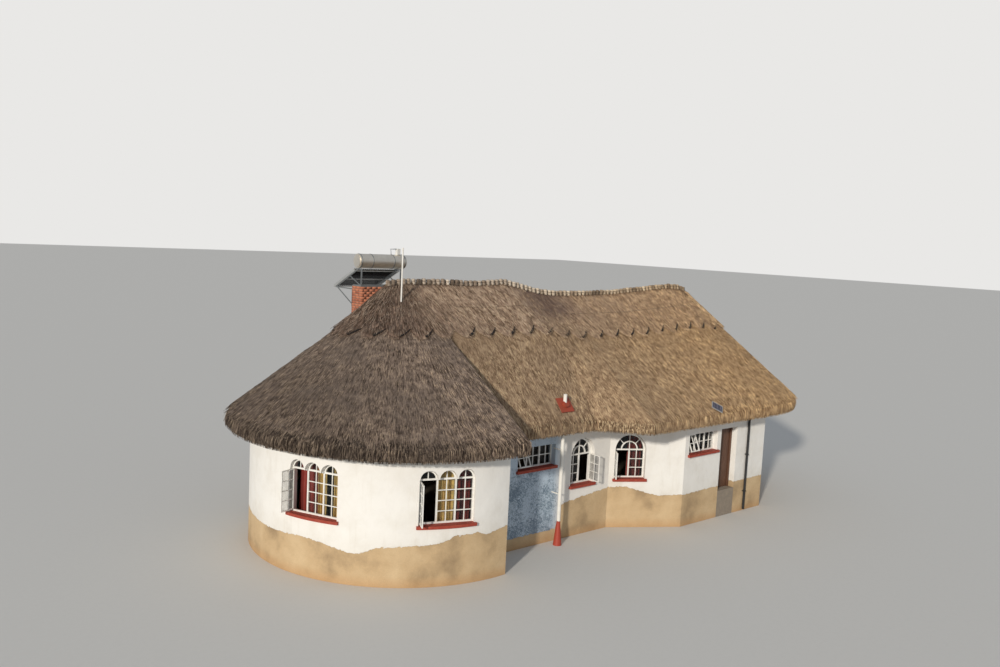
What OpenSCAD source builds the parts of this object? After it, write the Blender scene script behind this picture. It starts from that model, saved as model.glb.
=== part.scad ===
// Thatched rondavel hut: a round room whose cone runs into a long hipped thatch.
// Millimetres, +Z up, ground at z = 0, the long ridge along X, the entrance front facing -Y,
// the centre of the round room at x = 0, y = 0.

/* [Plan] */
// outer radius of the round room and half the width of the whole house
round_r = 4450; // [3500:50:5500]
// thickness of every outside wall
wall_t = 300; // [200:10:400]
// x of the corner where the round room ends and the recess begins
corner_x = 380; // [200:10:600]
// how far the recessed front stands back from the main front
recess_d = 1300; // [900:50:1600]
// x where the recessed front turns into the slanting bay wall
bay_x0 = 5740; // [5400:10:6000]
// x where the bay wall reaches the main front
bay_x1 = 7880; // [7700:10:8200]
// x of the corner where the main front ends
front_x1 = 12350; // [12000:50:12600]
// x of the flat far end wall
end_x = 15200; // [14600:50:15600]
// half the width of the flat far end wall
end_half = 2400; // [1800:50:2800]

/* [Heights] */
// top of the raised floor above the ground
floor_z = 900; // [600:50:1100]
// top of the walls, just under the thatch
wall_h = 3810; // [3600:10:3830]
// top edge of the thatch at the eave
eave_top = 3740; // [3700:10:3900]
// height of the roof ridge where it is level
ridge_z = 7500; // [7000:20:8200]
// upright thickness of the thatch at the eave
thatch_t = 330; // [250:10:400]
// how far the eave hangs out past the walls
eave_out = 700; // [550:10:850]

/* [Windows] */
// width of a three-light window
win3_w = 1510; // [1300:10:1600]
// width of a two-light window
win2_w = 1020; // [900:10:1100]
// top of the sill of the round room windows
round_sill = 1630; // [1400:10:1800]
// height of the transom of the round room windows
round_transom = 2820; // [2600:10:2900]
// top of the sill of the tall arched windows
tall_sill = 1590; // [1400:10:1800]
// height of the transom of the tall arched windows
tall_transom = 2520; // [2300:10:2560]
// top of the sill of the high three-light windows
high_sill = 2350; // [2200:10:2400]
// height of the high three-light windows
high_h = 650; // [500:10:700]
// width of the steel bars of the window frames
bar = 45; // [30:1:60]
// thickness of the red sills
sill_t = 80; // [50:5:100]

/* [Places of windows] */
// direction of the left round room window from the room's centre, in degrees
win1_a = -156.2; // [-165:0.1:-150]
// direction of the right round room window from the room's centre, in degrees
win2_a = -109.5; // [-115:0.1:-105]
// middle of the low window in the recess
winA_x = 2570; // [2300:10:2700]
// middle of the arched window in the recess
winB_x = 4530; // [4400:10:4700]
// how far the bay's arched window stands from the bay wall's middle towards the recess
winC_d = 560; // [300:10:650]
// gap between the main front's low window and the doorway
winD_gap = 195; // [100:5:400]
// middle of the low window at the back
backw1_x = 3800; // [3000:50:5000]
// middle of the arched window at the back
backw2_x = 9200; // [8000:50:11000]
// how far the recess's arched window stands open, in degrees
open_b = 85; // [0:1:100]
// how far the bay's arched window stands open, in degrees
open_c = 98; // [0:1:100]

/* [Door] */
// left edge of the doorway
door_x = 9790; // [9700:10:9900]
// width of the doorway
door_w = 910; // [850:10:1000]
// height of the doorway above the floor
door_h = 2120; // [2000:10:2140]

/* [Roof top] */
// distance from the ridge down to the scalloped edge of the ridge cap, in plan
cap_d = 1900; // [1400:50:2300]
// thickness of the ridge cap layer
cap_t = 70; // [40:5:100]
// spacing of the knotted bundles along the ridge
knot_pitch = 180; // [150:10:350]
// width of one scallop of the ridge cap's lower edge
lobe_w = 780; // [500:20:1200]

/* [Roof plan] */
// how far before the end of the main front the eave starts to turn round the far end
turn_back = 465; // [300:5:600]
// how far the round far end of the eave reaches from where it starts to turn
roof_ex = 4750; // [4500:10:5000]
// x of the left end of the ridge
ridge_x0 = -900; // [-1200:10:-600]
// x of the right end of the ridge
ridge_x1 = 13260; // [13000:10:13500]
// how far before the bay wall the eave starts to swing forward out of the recess
swing_back = 1440; // [1200:20:1600]
// how far along the front the eave takes to swing forward
swing_w = 1200; // [800:50:1600]
// x of the step where the cone's right flank stands proud of the long roof
step_x = 500; // [400:10:700]

/* [Pipes] */
// x of the flue pipe
flue_x = 3250; // [3000:10:3600]
// how far the flue pipe stands out from the recessed front
flue_out = 350; // [250:10:450]
// diameter of the flue pipe
flue_d = 110; // [80:5:130]
// diameter of the drainpipe
drain_d = 80; // [60:5:110]
// direction on the cone in which the vent pole stands, in degrees
pole_a = 238; // [200:1:270]
// how far up the cone's slope the vent pole stands, as a share of the slope
pole_v = 0.865; // [0.75:0.005:0.92]
// height of the vent pole above the thatch
pole_h = 1530; // [1000:10:2000]
// diameter of the vent pole
pole_d = 45; // [30:5:60]

/* [Water heater] */
// left face of the brick pier
pier_x0 = 1150; // [1000:10:1800]
// width of the brick pier along the house
pier_w = 1660; // [1200:10:2000]
// depth of the brick pier
pier_d = 600; // [450:10:700]
// height of the brick pier
pier_h = 7140; // [6800:20:7400]
// height of the water tank's axis above the pier
tank_up = 860; // [700:10:1000]
// diameter of the water tank
tank_d = 500; // [400:10:600]
// length of the water tank
tank_l = 1870; // [1800:10:2300]
// length of the collector down its slope
slope_l = 1500; // [1200:50:1800]
// slope of the collector, in degrees
slope_a = 26; // [20:1:35]

/* [Hidden] */
$fn = 96;
eps = 1;
round_ri = round_r - wall_t;
half_w = round_r;
recess_y = -(half_w - recess_d);
corner_y = -sqrt(round_r*round_r - corner_x*corner_x);
eave_r = round_r + eave_out;
eave_bot = eave_top - thatch_t;
arch3_r = win3_w/6 - 12;
head_hi = high_sill + high_h;
roof_cx = front_x1 - turn_back;
step_y = -sqrt(eave_r*eave_r - step_x*step_x);
winD_x = door_x - winD_gap - win3_w/2;
flue_y = recess_y - flue_out;
pier_y0 = half_w;
// top of the set-back walls, which reach further up under the thatch
setback_h = wall_h + 340;
// top of the walls beside the bay, where the eave already hangs in front of them
bay_h = wall_h + 800;
// small gap between pieces that only lie on each other
lie_gap = 0.4;
// height of the cap layer above the thatch, and of the bundles above the cap
cap_gap = 22;
crest_gap = 40;
// thickness of thatch measured upright on the slope
slope_t = thatch_t*1.12;

// outer and inner corners of the straight walls, in order along the front
o_p0 = [corner_x, recess_y];
o_p1 = [bay_x0, recess_y];
o_p2 = [bay_x1, -half_w];
o_p3 = [front_x1, -half_w];
o_p4 = [end_x, -end_half];
o_p5 = [end_x, end_half];
o_p6 = [front_x1, half_w];

function unit(v) = v/norm(v);
function nrm(a, b) = let(d = unit(b - a)) [-d[1], d[0]];
// inner corner of two walls that meet at q, both wall_t thick
function mitre(p, q, r) = let(n1 = nrm(p, q), n2 = nrm(q, r), m = unit(n1 + n2))
  q + m*(wall_t/(m*n1));
i_p0 = [corner_x, recess_y + wall_t];
i_p1 = mitre(o_p0, o_p1, o_p2);
i_p2 = mitre(o_p1, o_p2, o_p3);
i_p3 = mitre(o_p2, o_p3, o_p4);
i_p4 = mitre(o_p3, o_p4, o_p5);
i_p5 = mitre(o_p4, o_p5, o_p6);
i_p6 = mitre(o_p5, o_p6, [0, half_w]);
bay_d = unit(o_p2 - o_p1);
bay_a = atan2(bay_d[1], bay_d[0]);
bay_c = (o_p1 + o_p2)/2 - bay_d*winC_d;

// Walls
module sector(a0, a1, r = 9000) {
  n = max(1, ceil((a1 - a0)/30));
  polygon(concat([[0, 0]], [for (i = [0:n]) let(a = a0 + (a1 - a0)*i/n) [r*cos(a), r*sin(a)]]));
}
module ring2(ri, ro) { difference() { circle(ro, $fn = 240); circle(ri, $fn = 240); } }
module round_wall(a0, a1) {
  linear_extrude(wall_h) intersection() { ring2(round_ri, round_r); sector(a0, a1); }
}
module slab_wall(a, b, c, d, z0 = 0, z1 = wall_h) {
  translate([0, 0, z0]) linear_extrude(z1 - z0) polygon([a, b, c, d]);
}
// moves a window or its opening to its place: x along the wall, y inwards, z up
module on_round(a) { rotate([0, 0, a + 90]) translate([0, -round_r, 0]) children(); }
module on_front(x, y) { translate([x, y, 0]) children(); }
module on_bay() { translate([bay_c[0], bay_c[1], 0]) rotate([0, 0, bay_a]) children(); }
module on_back(x) { translate([x, half_w, 0]) rotate([0, 0, 180]) children(); }

// openings, seen from outside, centred on x = 0
module arch3_gap(z0, zt) {
  translate([-win3_w/2, -300, z0 - sill_t]) cube([win3_w, wall_t + 600, zt - z0 + sill_t]);
  for (k = [-1:1]) translate([k*win3_w/3, -300, zt]) rotate([-90, 0, 0])
    cylinder(r = arch3_r, h = wall_t + 600);
}
module arch2_gap(z0, zt) {
  translate([-win2_w/2, -300, z0 - sill_t]) cube([win2_w, wall_t + 600, zt - z0 + sill_t]);
  translate([0, -300, zt]) rotate([-90, 0, 0]) cylinder(r = win2_w/2, h = wall_t + 600);
}
module flat_gap(z0, h) {
  translate([-win3_w/2, -300, z0 - sill_t]) cube([win3_w, wall_t + 600, h + sill_t]);
}

module floor_slab() {
  x = corner_x - wall_t - 10;
  color("#8a7d70") union() {
    intersection() {
      cylinder(r = round_ri, h = floor_z, $fn = 240);
      translate([-round_r, -round_r, 0]) cube([round_r + corner_x - wall_t, 2*round_r, floor_z]);
    }
    linear_extrude(floor_z)
      polygon([[-500, recess_y + wall_t], [-500, round_ri - 300], [x, sqrt(round_ri*round_ri - x*x) - 0.4],
               i_p6, i_p5, i_p4, i_p3, i_p2, i_p1, i_p0]);
  }
}
module round_wall_front() {
  color("#f2f0ea") difference() {
    intersection() {
      round_wall(-134, 0);
      translate([-9000, -9000, -1]) cube([9000 + corner_x, 9000, 9000]);
    }
    on_round(win2_a) arch3_gap(round_sill, round_transom);
  }
}
module round_wall_left() {
  color("#f2f0ea") difference() {
    round_wall(-180, -134);
    on_round(win1_a) arch3_gap(round_sill, round_transom);
  }
}
module round_wall_back() { color("#f2f0ea") round_wall(90, 180); }
module return_wall() {
  color("#e9e6df") linear_extrude(wall_h) intersection() {
    translate([corner_x - wall_t, -round_r]) square([wall_t, round_r + recess_y + wall_t]);
    circle(round_ri, $fn = 240);
  }
}
// closes the loft between the round room's thatch and the lower thatch of the recess
module return_gable() {
  x1 = corner_x - 110;
  function under(y) = eave_top + (1 - norm([y, x1])/eave_r)*(ridge_z - eave_top) - slope_t - 30;
  y0 = -round_r + 60;
  y1 = recess_y + wall_t - 10;
  color("#e9e6df") translate([corner_x - wall_t, 0, 0]) rotate([90, 0, 90]) linear_extrude(x1 - corner_x + wall_t)
    polygon([[y0, wall_h], [y1, wall_h], [y1, under(y1)], [y0, under(y0)]]);
}
module recess_wall() {
  color("#dfe2e2") difference() {
    slab_wall(o_p0, o_p1, i_p1, i_p0, 0, bay_h);
    // the top edge rises where the eave swings forward
    translate([0, recess_y + wall_t + 100, 0]) rotate([90, 0, 0]) linear_extrude(wall_t + 200)
      polygon([[corner_x - 100, setback_h], [swing_x0, setback_h], [swing_x1, bay_h], [swing_x1, bay_h + 100],
               [corner_x - 100, bay_h + 100]]);
    on_front(winA_x, recess_y) flat_gap(high_sill, high_h);
    on_front(winB_x, recess_y) arch2_gap(tall_sill, tall_transom);
  }
}
module bay_wall() {
  len = norm(o_p2 - o_p1);
  color("#f6f4ee") difference() {
    slab_wall(o_p1, o_p2, i_p2, i_p1, 0, bay_h + 200);
    // top edge falls with the thatch
    translate([o_p1[0], o_p1[1], bay_h]) rotate([0, 0, bay_a]) rotate([0, atan((bay_h - wall_h)/len), 0])
      translate([-900, -900, 0]) cube([len + 1800, 1800, 1500]);
    on_bay() arch2_gap(tall_sill, tall_transom);
  }
}
module front_wall() {
  color("#f2f0ea") difference() {
    slab_wall(o_p2, [door_x, -half_w], [door_x, -half_w + wall_t], i_p2);
    on_front(winD_x, -half_w) flat_gap(high_sill, high_h);
  }
}
module front_wall_right() {
  x = door_x + door_w;
  color("#f2f0ea") slab_wall([x, -half_w], o_p3, i_p3, [x, -half_w + wall_t]);
}
module door_lintel() {
  color("#f2f0ea") translate([door_x, -half_w, floor_z + door_h])
    cube([door_w, wall_t, wall_h - floor_z - door_h]);
}
module door_threshold() {
  color("#8a7d70") translate([door_x, -half_w, 0]) cube([door_w, wall_t, floor_z]);
}
module end_wall() {
  color("#e9e6df") linear_extrude(wall_h) polygon([o_p3, o_p4, o_p5, o_p6, i_p6, i_p5, i_p4, i_p3]);
}
module back_wall() {
  color("#ecebe5") difference() {
    slab_wall([0, half_w], [0, half_w - wall_t], i_p6, o_p6);
    on_back(backw1_x) flat_gap(high_sill, high_h);
    on_back(backw2_x) arch2_gap(tall_sill, tall_transom);
  }
}

// Windows
frame_y = 170;
frame_d = 40;
module bar_x(x0, x1, z, y = frame_y, d = frame_d, h = bar) {
  translate([x0, y, z - h/2]) cube([x1 - x0, d, h]);
}
module bar_z(x, z0, z1, y = frame_y, d = frame_d, w = bar) {
  translate([x - w/2, y, z0]) cube([w, d, z1 - z0]);
}
// a hinged light: outer frame only, hinge edge on x = 0, closed towards +x
module leaf(w, z0, z1) {
  b = 30;
  translate([0, 0, z0]) difference() {
    cube([w, 30, z1 - z0]);
    translate([b, -eps, b]) cube([w - 2*b, 32, z1 - z0 - 2*b]);
  }
}
module box_frame(w, z0, z1) {
  bar_x(-w/2, w/2, z0 + bar/2);
  bar_x(-w/2, w/2, z1 - bar/2);
  bar_z(-w/2 + bar/2, z0, z1);
  bar_z(w/2 - bar/2, z0, z1);
}
module half_ring(r, w, x) {
  translate([x, frame_y, 0]) rotate([-90, 0, 0]) linear_extrude(frame_d) difference() {
    intersection() { circle(r); translate([-r, -r]) square([2*r, r]); }
    circle(r - w);
  }
}
// three lights with half-round heads; the first light stands open
module arch3_window(z0, zt) {
  color("#f4f4f2") union() {
    box_frame(win3_w, z0, zt);
    for (s = [-1, 1]) bar_z(s*win3_w/6, z0, zt);
    for (k = [-1:1]) translate([0, 0, zt - bar/2]) half_ring(arch3_r, bar*0.8, k*win3_w/3);
    translate([-win3_w/2 + bar - 8, frame_y + 6, 0]) rotate([0, 0, -96])
      leaf(win3_w/3 - bar, z0 + bar + 3, zt - bar - 3);
  }
}
// two tall lights under one half-round head; side = the light that stands open
module arch2_window(z0, zt, side, open_a) {
  r = win2_w/2;
  color("#f4f4f2") union() {
    box_frame(win2_w, z0, zt);
    bar_z(0, z0, zt);
    translate([0, 0, zt - bar/2]) half_ring(r, bar, 0);
    translate([0, 0, zt - bar/2]) half_ring(r*0.55, bar*0.8, 0);
    translate([side*(r - bar + 8), frame_y + 6, 0])
      rotate([0, 0, side > 0 ? 180 + open_a : -open_a]) leaf(r - bar, z0 + bar + 3, zt - bar - 3);
  }
}
// three low lights; the first is hung at the top and stands open
module flat_window(z0, h) {
  color("#f4f4f2") union() {
    box_frame(win3_w, z0, z0 + h);
    for (s = [-1, 1]) bar_z(s*win3_w/6, z0, z0 + h);
    translate([-win3_w/2 + bar + 4, frame_y - 24, z0 + h - bar + 4]) rotate([-24, 0, 0])
      rotate([-90, 0, 0]) leaf_flat(win3_w/3 - bar - bar/2 - 8, h - 2*bar);
  }
}
module leaf_flat(w, h) {
  b = 30;
  rotate([180, 0, 0]) translate([0, -h, -30]) difference() {
    translate([0, 0, 0]) cube([w, h, 30]);
    translate([b, b, -eps]) cube([w - 2*b, h - 2*b, 32]);
  }
}

// sheets of glass close behind the frames, leaving the open light open
module pane(pts) {
  translate([0, frame_y + frame_d + 6, 0]) rotate([90, 0, 0]) linear_extrude(6) polygon(pts);
}
module leaf_pane(w, z0, z1) { translate([31, 12, z0 + 31]) cube([w - 62, 5, z1 - z0 - 62]); }
module arch3_glass(z0, zt) {
  x0 = -win3_w/6 + bar/2 - 8;
  x1 = win3_w/2 - 4;
  pane([[x0, z0 + 4], [x1, z0 + 4], [x1, zt - bar + 10], [-win3_w/2 + 4, zt - bar + 10],
        [-win3_w/2 + 4, zt - bar + 1], [x0, zt - bar + 1]]);
  for (k = [-1:1]) translate([k*win3_w/3, frame_y + frame_d + 6, zt - bar/2 + 16]) rotate([90, 0, 0])
    linear_extrude(6) intersection() {
      circle(arch3_r - 8);
      translate([-500, 0]) square([1000, 500]);
    }
  translate([-win3_w/2 + bar - 8, frame_y + 6, 0]) rotate([0, 0, -96])
    leaf_pane(win3_w/3 - bar, z0 + bar + 3, zt - bar - 3);
}
module arch2_glass(z0, zt, side, open_a) {
  r = win2_w/2;
  translate([0, frame_y + frame_d + 6, zt - bar/2 + 2]) rotate([90, 0, 0]) linear_extrude(6)
    intersection() {
      circle(r - 26);
      translate([-600, 0]) square([1200, 600]);
    }
  s = -side;
  pane([[s > 0 ? bar/2 - 8 : -r + 4, z0 + 4], [s > 0 ? r - 4 : -bar/2 + 8, z0 + 4],
        [s > 0 ? r - 4 : -bar/2 + 8, zt - bar/2], [s > 0 ? bar/2 - 8 : -r + 4, zt - bar/2]]);
  translate([side*(r - bar + 8), frame_y + 6, 0])
    rotate([0, 0, side > 0 ? 180 + open_a : -open_a]) leaf_pane(r - bar, z0 + bar + 3, zt - bar - 3);
}
module flat_glass(z0, h) {
  x0 = -win3_w/6 + bar/2 - 8;
  pane([[x0, z0 + 4], [win3_w/2 - 4, z0 + 4], [win3_w/2 - 4, z0 + h - 4], [x0, z0 + h - 4]]);
}
module window_glass() {
  color("#9fb4bf") union() {
    on_round(win1_a) arch3_glass(round_sill, round_transom);
    on_round(win2_a) arch3_glass(round_sill, round_transom);
    on_front(winA_x, recess_y) flat_glass(high_sill, high_h);
    on_front(winB_x, recess_y) arch2_glass(tall_sill, tall_transom, 1, open_b);
    on_bay() arch2_glass(tall_sill, tall_transom, -1, open_c);
    on_front(winD_x, -half_w) flat_glass(high_sill, high_h);
    on_back(backw1_x) flat_glass(high_sill, high_h);
    on_back(backw2_x) arch2_glass(tall_sill, tall_transom, -1, 4);
  }
}

module round_window_left() { on_round(win1_a) arch3_window(round_sill, round_transom); }
module round_window_right() { on_round(win2_a) arch3_window(round_sill, round_transom); }
module recess_window() { on_front(winA_x, recess_y) flat_window(high_sill, high_h); }
module arched_window_left() { on_front(winB_x, recess_y) arch2_window(tall_sill, tall_transom, 1, open_b); }
module arched_window_right() { on_bay() arch2_window(tall_sill, tall_transom, -1, open_c); }
module front_window() { on_front(winD_x, -half_w) flat_window(high_sill, high_h); }
module back_window_left() { on_back(backw1_x) flat_window(high_sill, high_h); }
module back_window_right() { on_back(backw2_x) arch2_window(tall_sill, tall_transom, -1, 4); }

// Sills
module flat_sill(w, z) {
  color("#a8432f") union() {
    translate([-w/2, 0, z - sill_t]) cube([w, wall_t, sill_t - lie_gap]);
    translate([-w/2 - 50, -80, z - sill_t]) cube([w + 100, 80, sill_t - lie_gap]);
  }
}
module round_sill_piece(a, z) {
  half = asin((win3_w/2 + 50)/round_r);
  color("#a8432f") translate([0, 0, z - sill_t + lie_gap]) linear_extrude(sill_t - 2*lie_gap) union() {
    intersection() { ring2(round_r + 1.2, round_r + 80); sector(a - half, a + half); }
    intersection() {
      ring2(round_ri, round_r + 4);
      rotate(a + 90) translate([-win3_w/2 + lie_gap, -round_r - 10]) square([win3_w - 2*lie_gap, wall_t + 400]);
    }
  }
}
module sill_round_left() { round_sill_piece(win1_a, round_sill); }
module sill_round_right() { round_sill_piece(win2_a, round_sill); }
module sill_recess() { on_front(winA_x, recess_y) flat_sill(win3_w, high_sill); }
module sill_arched_left() { on_front(winB_x, recess_y) flat_sill(win2_w, tall_sill); }
module sill_arched_right() { on_bay() flat_sill(win2_w, tall_sill); }
module sill_front() { on_front(winD_x, -half_w) flat_sill(win3_w, high_sill); }
module sill_back_left() { on_back(backw1_x) flat_sill(win3_w, high_sill); }
module sill_back_right() { on_back(backw2_x) flat_sill(win2_w, tall_sill); }

// Entrance
jamb = 60;
leaf_gap = 8;
hinge_r = 9;
hinge_x = door_x + door_w - jamb;
hinge_y = -half_w + wall_t + 5 + hinge_r;
module door_frame() {
  color("#4a3426") translate([door_x, -half_w + wall_t - 90, floor_z]) difference() {
    cube([door_w, 90, door_h]);
    translate([jamb, 39, -eps]) cube([door_w - 2*jamb, 92, door_h - jamb + eps]);
    translate([jamb + 18, -eps, -eps]) cube([door_w - 2*jamb - 36, 92, door_h - jamb - 18 + eps]);
  }
}
// the leaf opens inwards about its right edge
module entrance_door() {
  x0 = door_x + jamb + leaf_gap;
  w = door_w - 2*jamb - 2*leaf_gap;
  y0 = -half_w + wall_t - 45;
  color("#4d3322") union() {
    translate([x0, y0, floor_z + 8]) cube([w, 44, door_h - jamb - 8 - leaf_gap]);
    for (y = [y0 - 50, y0 + 44]) {
      translate([x0 + 70, y, floor_z + 1020]) rotate([-90, 0, 0]) cylinder(d = 22, h = 50);
    }
    // three knuckles on the hinge line, each with its plate
    for (z = [200, 1000, 1750]) translate([0, 0, floor_z + z]) {
      translate([hinge_x, hinge_y, 0]) cylinder(r = hinge_r, h = 110);
      translate([hinge_x - 50, y0 + 43, 0]) cube([50, hinge_y - y0 - 43, 110]);
    }
    translate([x0 + 60, y0 - 60, floor_z + 1010]) cube([130, 14, 20]);
    translate([x0 + 60, y0 + 90, floor_z + 1010]) cube([130, 14, 20]);
  }
}

// Thatch
// ridge height: level on the left, a hump and a long dip past the middle, a hump near the right end
ridge_prof = [[-900, -75], [-300, -10], [900, -5], [2200, -50], [3000, -30], [3650, 5], [4050, -50],
              [4760, -217], [5400, -325], [6000, -372], [6900, -372], [8800, -335], [10600, -212],
              [12000, -112], [12650, -155], [13260, -310]];
function ridge_at(x, i = 0) =
  i >= len(ridge_prof) - 2 || x <= ridge_prof[i + 1][0]
  ? let(a = ridge_prof[i], b = ridge_prof[i + 1], f = (x - a[0])/(b[0] - a[0]))
    ridge_z + a[1] + (b[1] - a[1])*f
  : ridge_at(x, i + 1);
recess_f = 1 - (-recess_y + eave_out + 20)/eave_r;
cap_f = 1 - cap_d/eave_r;
function lerp(a, b, f) = a + (b - a)*f;
// one column of the roof: foot without recess, ridge x, share of the recess
function col_round(a, x) = [eave_r*cos(a), eave_r*sin(a), x, 0];
// between these the eave swings forward from the recess to the main front
swing_x0 = bay_x0 - swing_back;
swing_x1 = swing_x0 + swing_w;
hip_x0 = ridge_x1 - 360;
function bay_share(x) =
  x < swing_x0 ? recess_f : x > swing_x1 ? 0 : recess_f*(swing_x1 - x)/(swing_x1 - swing_x0);
cols_rf = [for (i = [0:16]) let(f = i/16, a = 180 + (atan2(step_y, step_x) + 180)*f)
  col_round(a, ridge_x0*(1 - f))];
cols_rb = [for (i = [0:15]) let(f = i/15) col_round(180 - 90*f, ridge_x0*(1 - f))];
main_x = concat([step_x + 2], [for (k = [1:7]) lerp(step_x, swing_x0, k/8)],
  [for (k = [0:5]) lerp(swing_x0, swing_x1, k/5)], [for (k = [1:16]) lerp(swing_x1, roof_cx, k/16)]);
function col_end(a, s) =
  [roof_cx + roof_ex*sin(a), s*eave_r*cos(a), hip_x0 + (ridge_x1 - hip_x0)*a/90, 0];
cols_mf = concat(
  [for (x = main_x) let(f = (x - main_x[0])/(roof_cx - main_x[0]))
    [x, x == main_x[0] ? step_y : -eave_r, 2 + (hip_x0 - 2)*f, bay_share(x)]],
  [for (i = [1:15]) col_end(i*6, -1)]);
cols_mb = concat(
  [for (i = [0:30]) let(f = i/30) [roof_cx*f, eave_r, hip_x0*f, 0]],
  [for (i = [1:15]) col_end(i*6, 1)]);
// rows: 0 at the eave, 1 at the ridge; the recessed columns fall in line above the cap edge
rows = [0, 0.2, 0.4, 0.62, 0.81, 1];
function roof_pt(c, v, dz) =
  let(e = [c[0], c[1], eave_top], g = [c[2], 0, ridge_at(c[2])],
      m = lerp(e, g, cap_f), e1 = lerp([c[0], c[1]], [c[2], 0], c[3]),
      ee = [e1[0], e1[1], eave_top])
  (v < cap_f ? lerp(ee, m, v/cap_f) : lerp(e, g, v)) + [0, 0, dz];
function under_pt(c, v) =
  let(p = roof_pt(c, v < 0.001 ? 0.012 : v, 0)) [p[0], p[1], (v < 0.001 ? eave_bot : p[2] - slope_t)];
// solid between an upper and a lower grid of the same size
function grid_faces(n, m) = let(k = n*m) concat(
  [for (i = [0:n - 2], j = [0:m - 2]) [i*m + j, i*m + j + 1, (i + 1)*m + j + 1]],
  [for (i = [0:n - 2], j = [0:m - 2]) [i*m + j, (i + 1)*m + j + 1, (i + 1)*m + j]],
  [for (i = [0:n - 2], j = [0:m - 2]) [k + i*m + j, k + (i + 1)*m + j + 1, k + i*m + j + 1]],
  [for (i = [0:n - 2], j = [0:m - 2]) [k + i*m + j, k + (i + 1)*m + j, k + (i + 1)*m + j + 1]],
  [for (i = [0:n - 2]) [i*m, (i + 1)*m, k + (i + 1)*m]],
  [for (i = [0:n - 2]) [i*m, k + (i + 1)*m, k + i*m]],
  [for (i = [0:n - 2]) [i*m + m - 1, k + (i + 1)*m + m - 1, (i + 1)*m + m - 1]],
  [for (i = [0:n - 2]) [i*m + m - 1, k + i*m + m - 1, k + (i + 1)*m + m - 1]],
  [for (j = [0:m - 2]) [j, k + j + 1, j + 1]],
  [for (j = [0:m - 2]) [j, k + j, k + j + 1]],
  [for (j = [0:m - 2]) [(n - 1)*m + j, (n - 1)*m + j + 1, k + (n - 1)*m + j + 1]],
  [for (j = [0:m - 2]) [(n - 1)*m + j, k + (n - 1)*m + j + 1, k + (n - 1)*m + j]]);
function flip(fs) = [for (f = fs) [f[0], f[2], f[1]]];
module thatch_piece(cols, turn) {
  n = len(cols);
  m = len(rows);
  pts = concat([for (c = cols, v = rows) roof_pt(c, v, 0)], [for (c = cols, v = rows) under_pt(c, v)]);
  fs = grid_faces(n, m);
  polyhedron(points = pts, faces = turn ? flip(fs) : fs, convexity = 6);
}
module thatch_round_front() { color("#6e5c4c") thatch_piece(cols_rf, true); }
module thatch_round_back() { color("#6e5c4c") thatch_piece(cols_rb, true); }
module thatch_front() {
  color("#96806a") difference() {
    thatch_piece(cols_mf, true);
    translate([flue_x, flue_y, 3000]) cylinder(d = 130, h = 2500);
    // room for the end of the return wall
    translate([-200, recess_y - 900, 3000]) cube([corner_x + 205, 1500, wall_h - 2995]);
  }
}
module thatch_back() {
  color("#96806a") difference() {
    thatch_piece(cols_mb, false);
    translate([pier_x0 - 10, pier_y0 - 20, 3000]) cube([pier_w + 20, 1600, 4000]);
  }
}

// Ridge cap
function mixcol(a, b, f) = [for (k = [0:3]) lerp(a[k], b[k], f)];
// columns split finely enough for the scallops; the step between round and main roof is left out
function fine(cols, k) = [for (i = [0:len(cols) - 2], j = [0:k - 1]) mixcol(cols[i], cols[i + 1], j/k)];
cap_cols_f = concat(fine(cols_rf, 2), fine(cols_mf, 4), [cols_mf[len(cols_mf) - 1]]);
cap_cols_b = concat(fine(cols_rb, 2), fine(cols_mb, 4), [cols_mb[len(cols_mb) - 1]]);
// the cap's edge stands this share of the slope above cap_f at a cusp, and falls this much in a scallop
cusp_up = 0.065;
lobe_deep = 0.055;
// distance along the cap's edge from its left end to each column
function cap_spot(c) = lerp([c[0], c[1]], [c[2], 0], cap_f);
function runs(cols, i = 0, s = 0) = i == len(cols) ? []
  : concat([s], runs(cols, i + 1, i + 1 == len(cols) ? s : s + norm(cap_spot(cols[i + 1]) - cap_spot(cols[i]))));
module cap_piece(cols, turn) {
  run = runs(cols);
  n = len(cols);
  edge = [for (s = run) cap_f + cusp_up - lobe_deep*abs(sin(180*s/lobe_w))];
  pts = [for (z = [cap_gap + cap_t, cap_gap], i = [0:n - 1], v = [edge[i], 1]) roof_pt(cols[i], v, z)];
  fs = grid_faces(n, 2);
  polyhedron(points = pts, faces = turn ? flip(fs) : fs, convexity = 6);
}
module ridge_cap_front() { color("#8b7763") cap_piece(cap_cols_f, true); }
module ridge_cap_back() { color("#8b7763") cap_piece(cap_cols_b, true); }

module ridge_crest() {
  n = floor((ridge_x1 - ridge_x0 - 200)/knot_pitch);
  color("#b3a48e") union() {
    for (i = [0:n - 1]) let(x0 = ridge_x0 + 60 + i*knot_pitch, x1 = x0 + knot_pitch,
                            z0 = ridge_at(x0) + cap_t + crest_gap, z1 = ridge_at(x1) + cap_t + crest_gap) {
      translate([0, 60, 0]) rotate([90, 0, 0]) linear_extrude(120)
        polygon([[x0, z0], [x1, z1], [x1, z1 + 55], [x0, z0 + 55]]);
      translate([x0 + knot_pitch/2, 0, (z0 + z1)/2 + 8]) cylinder(r = 0.44*knot_pitch, h = 95, $fn = 8);
    }
  }
}

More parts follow.
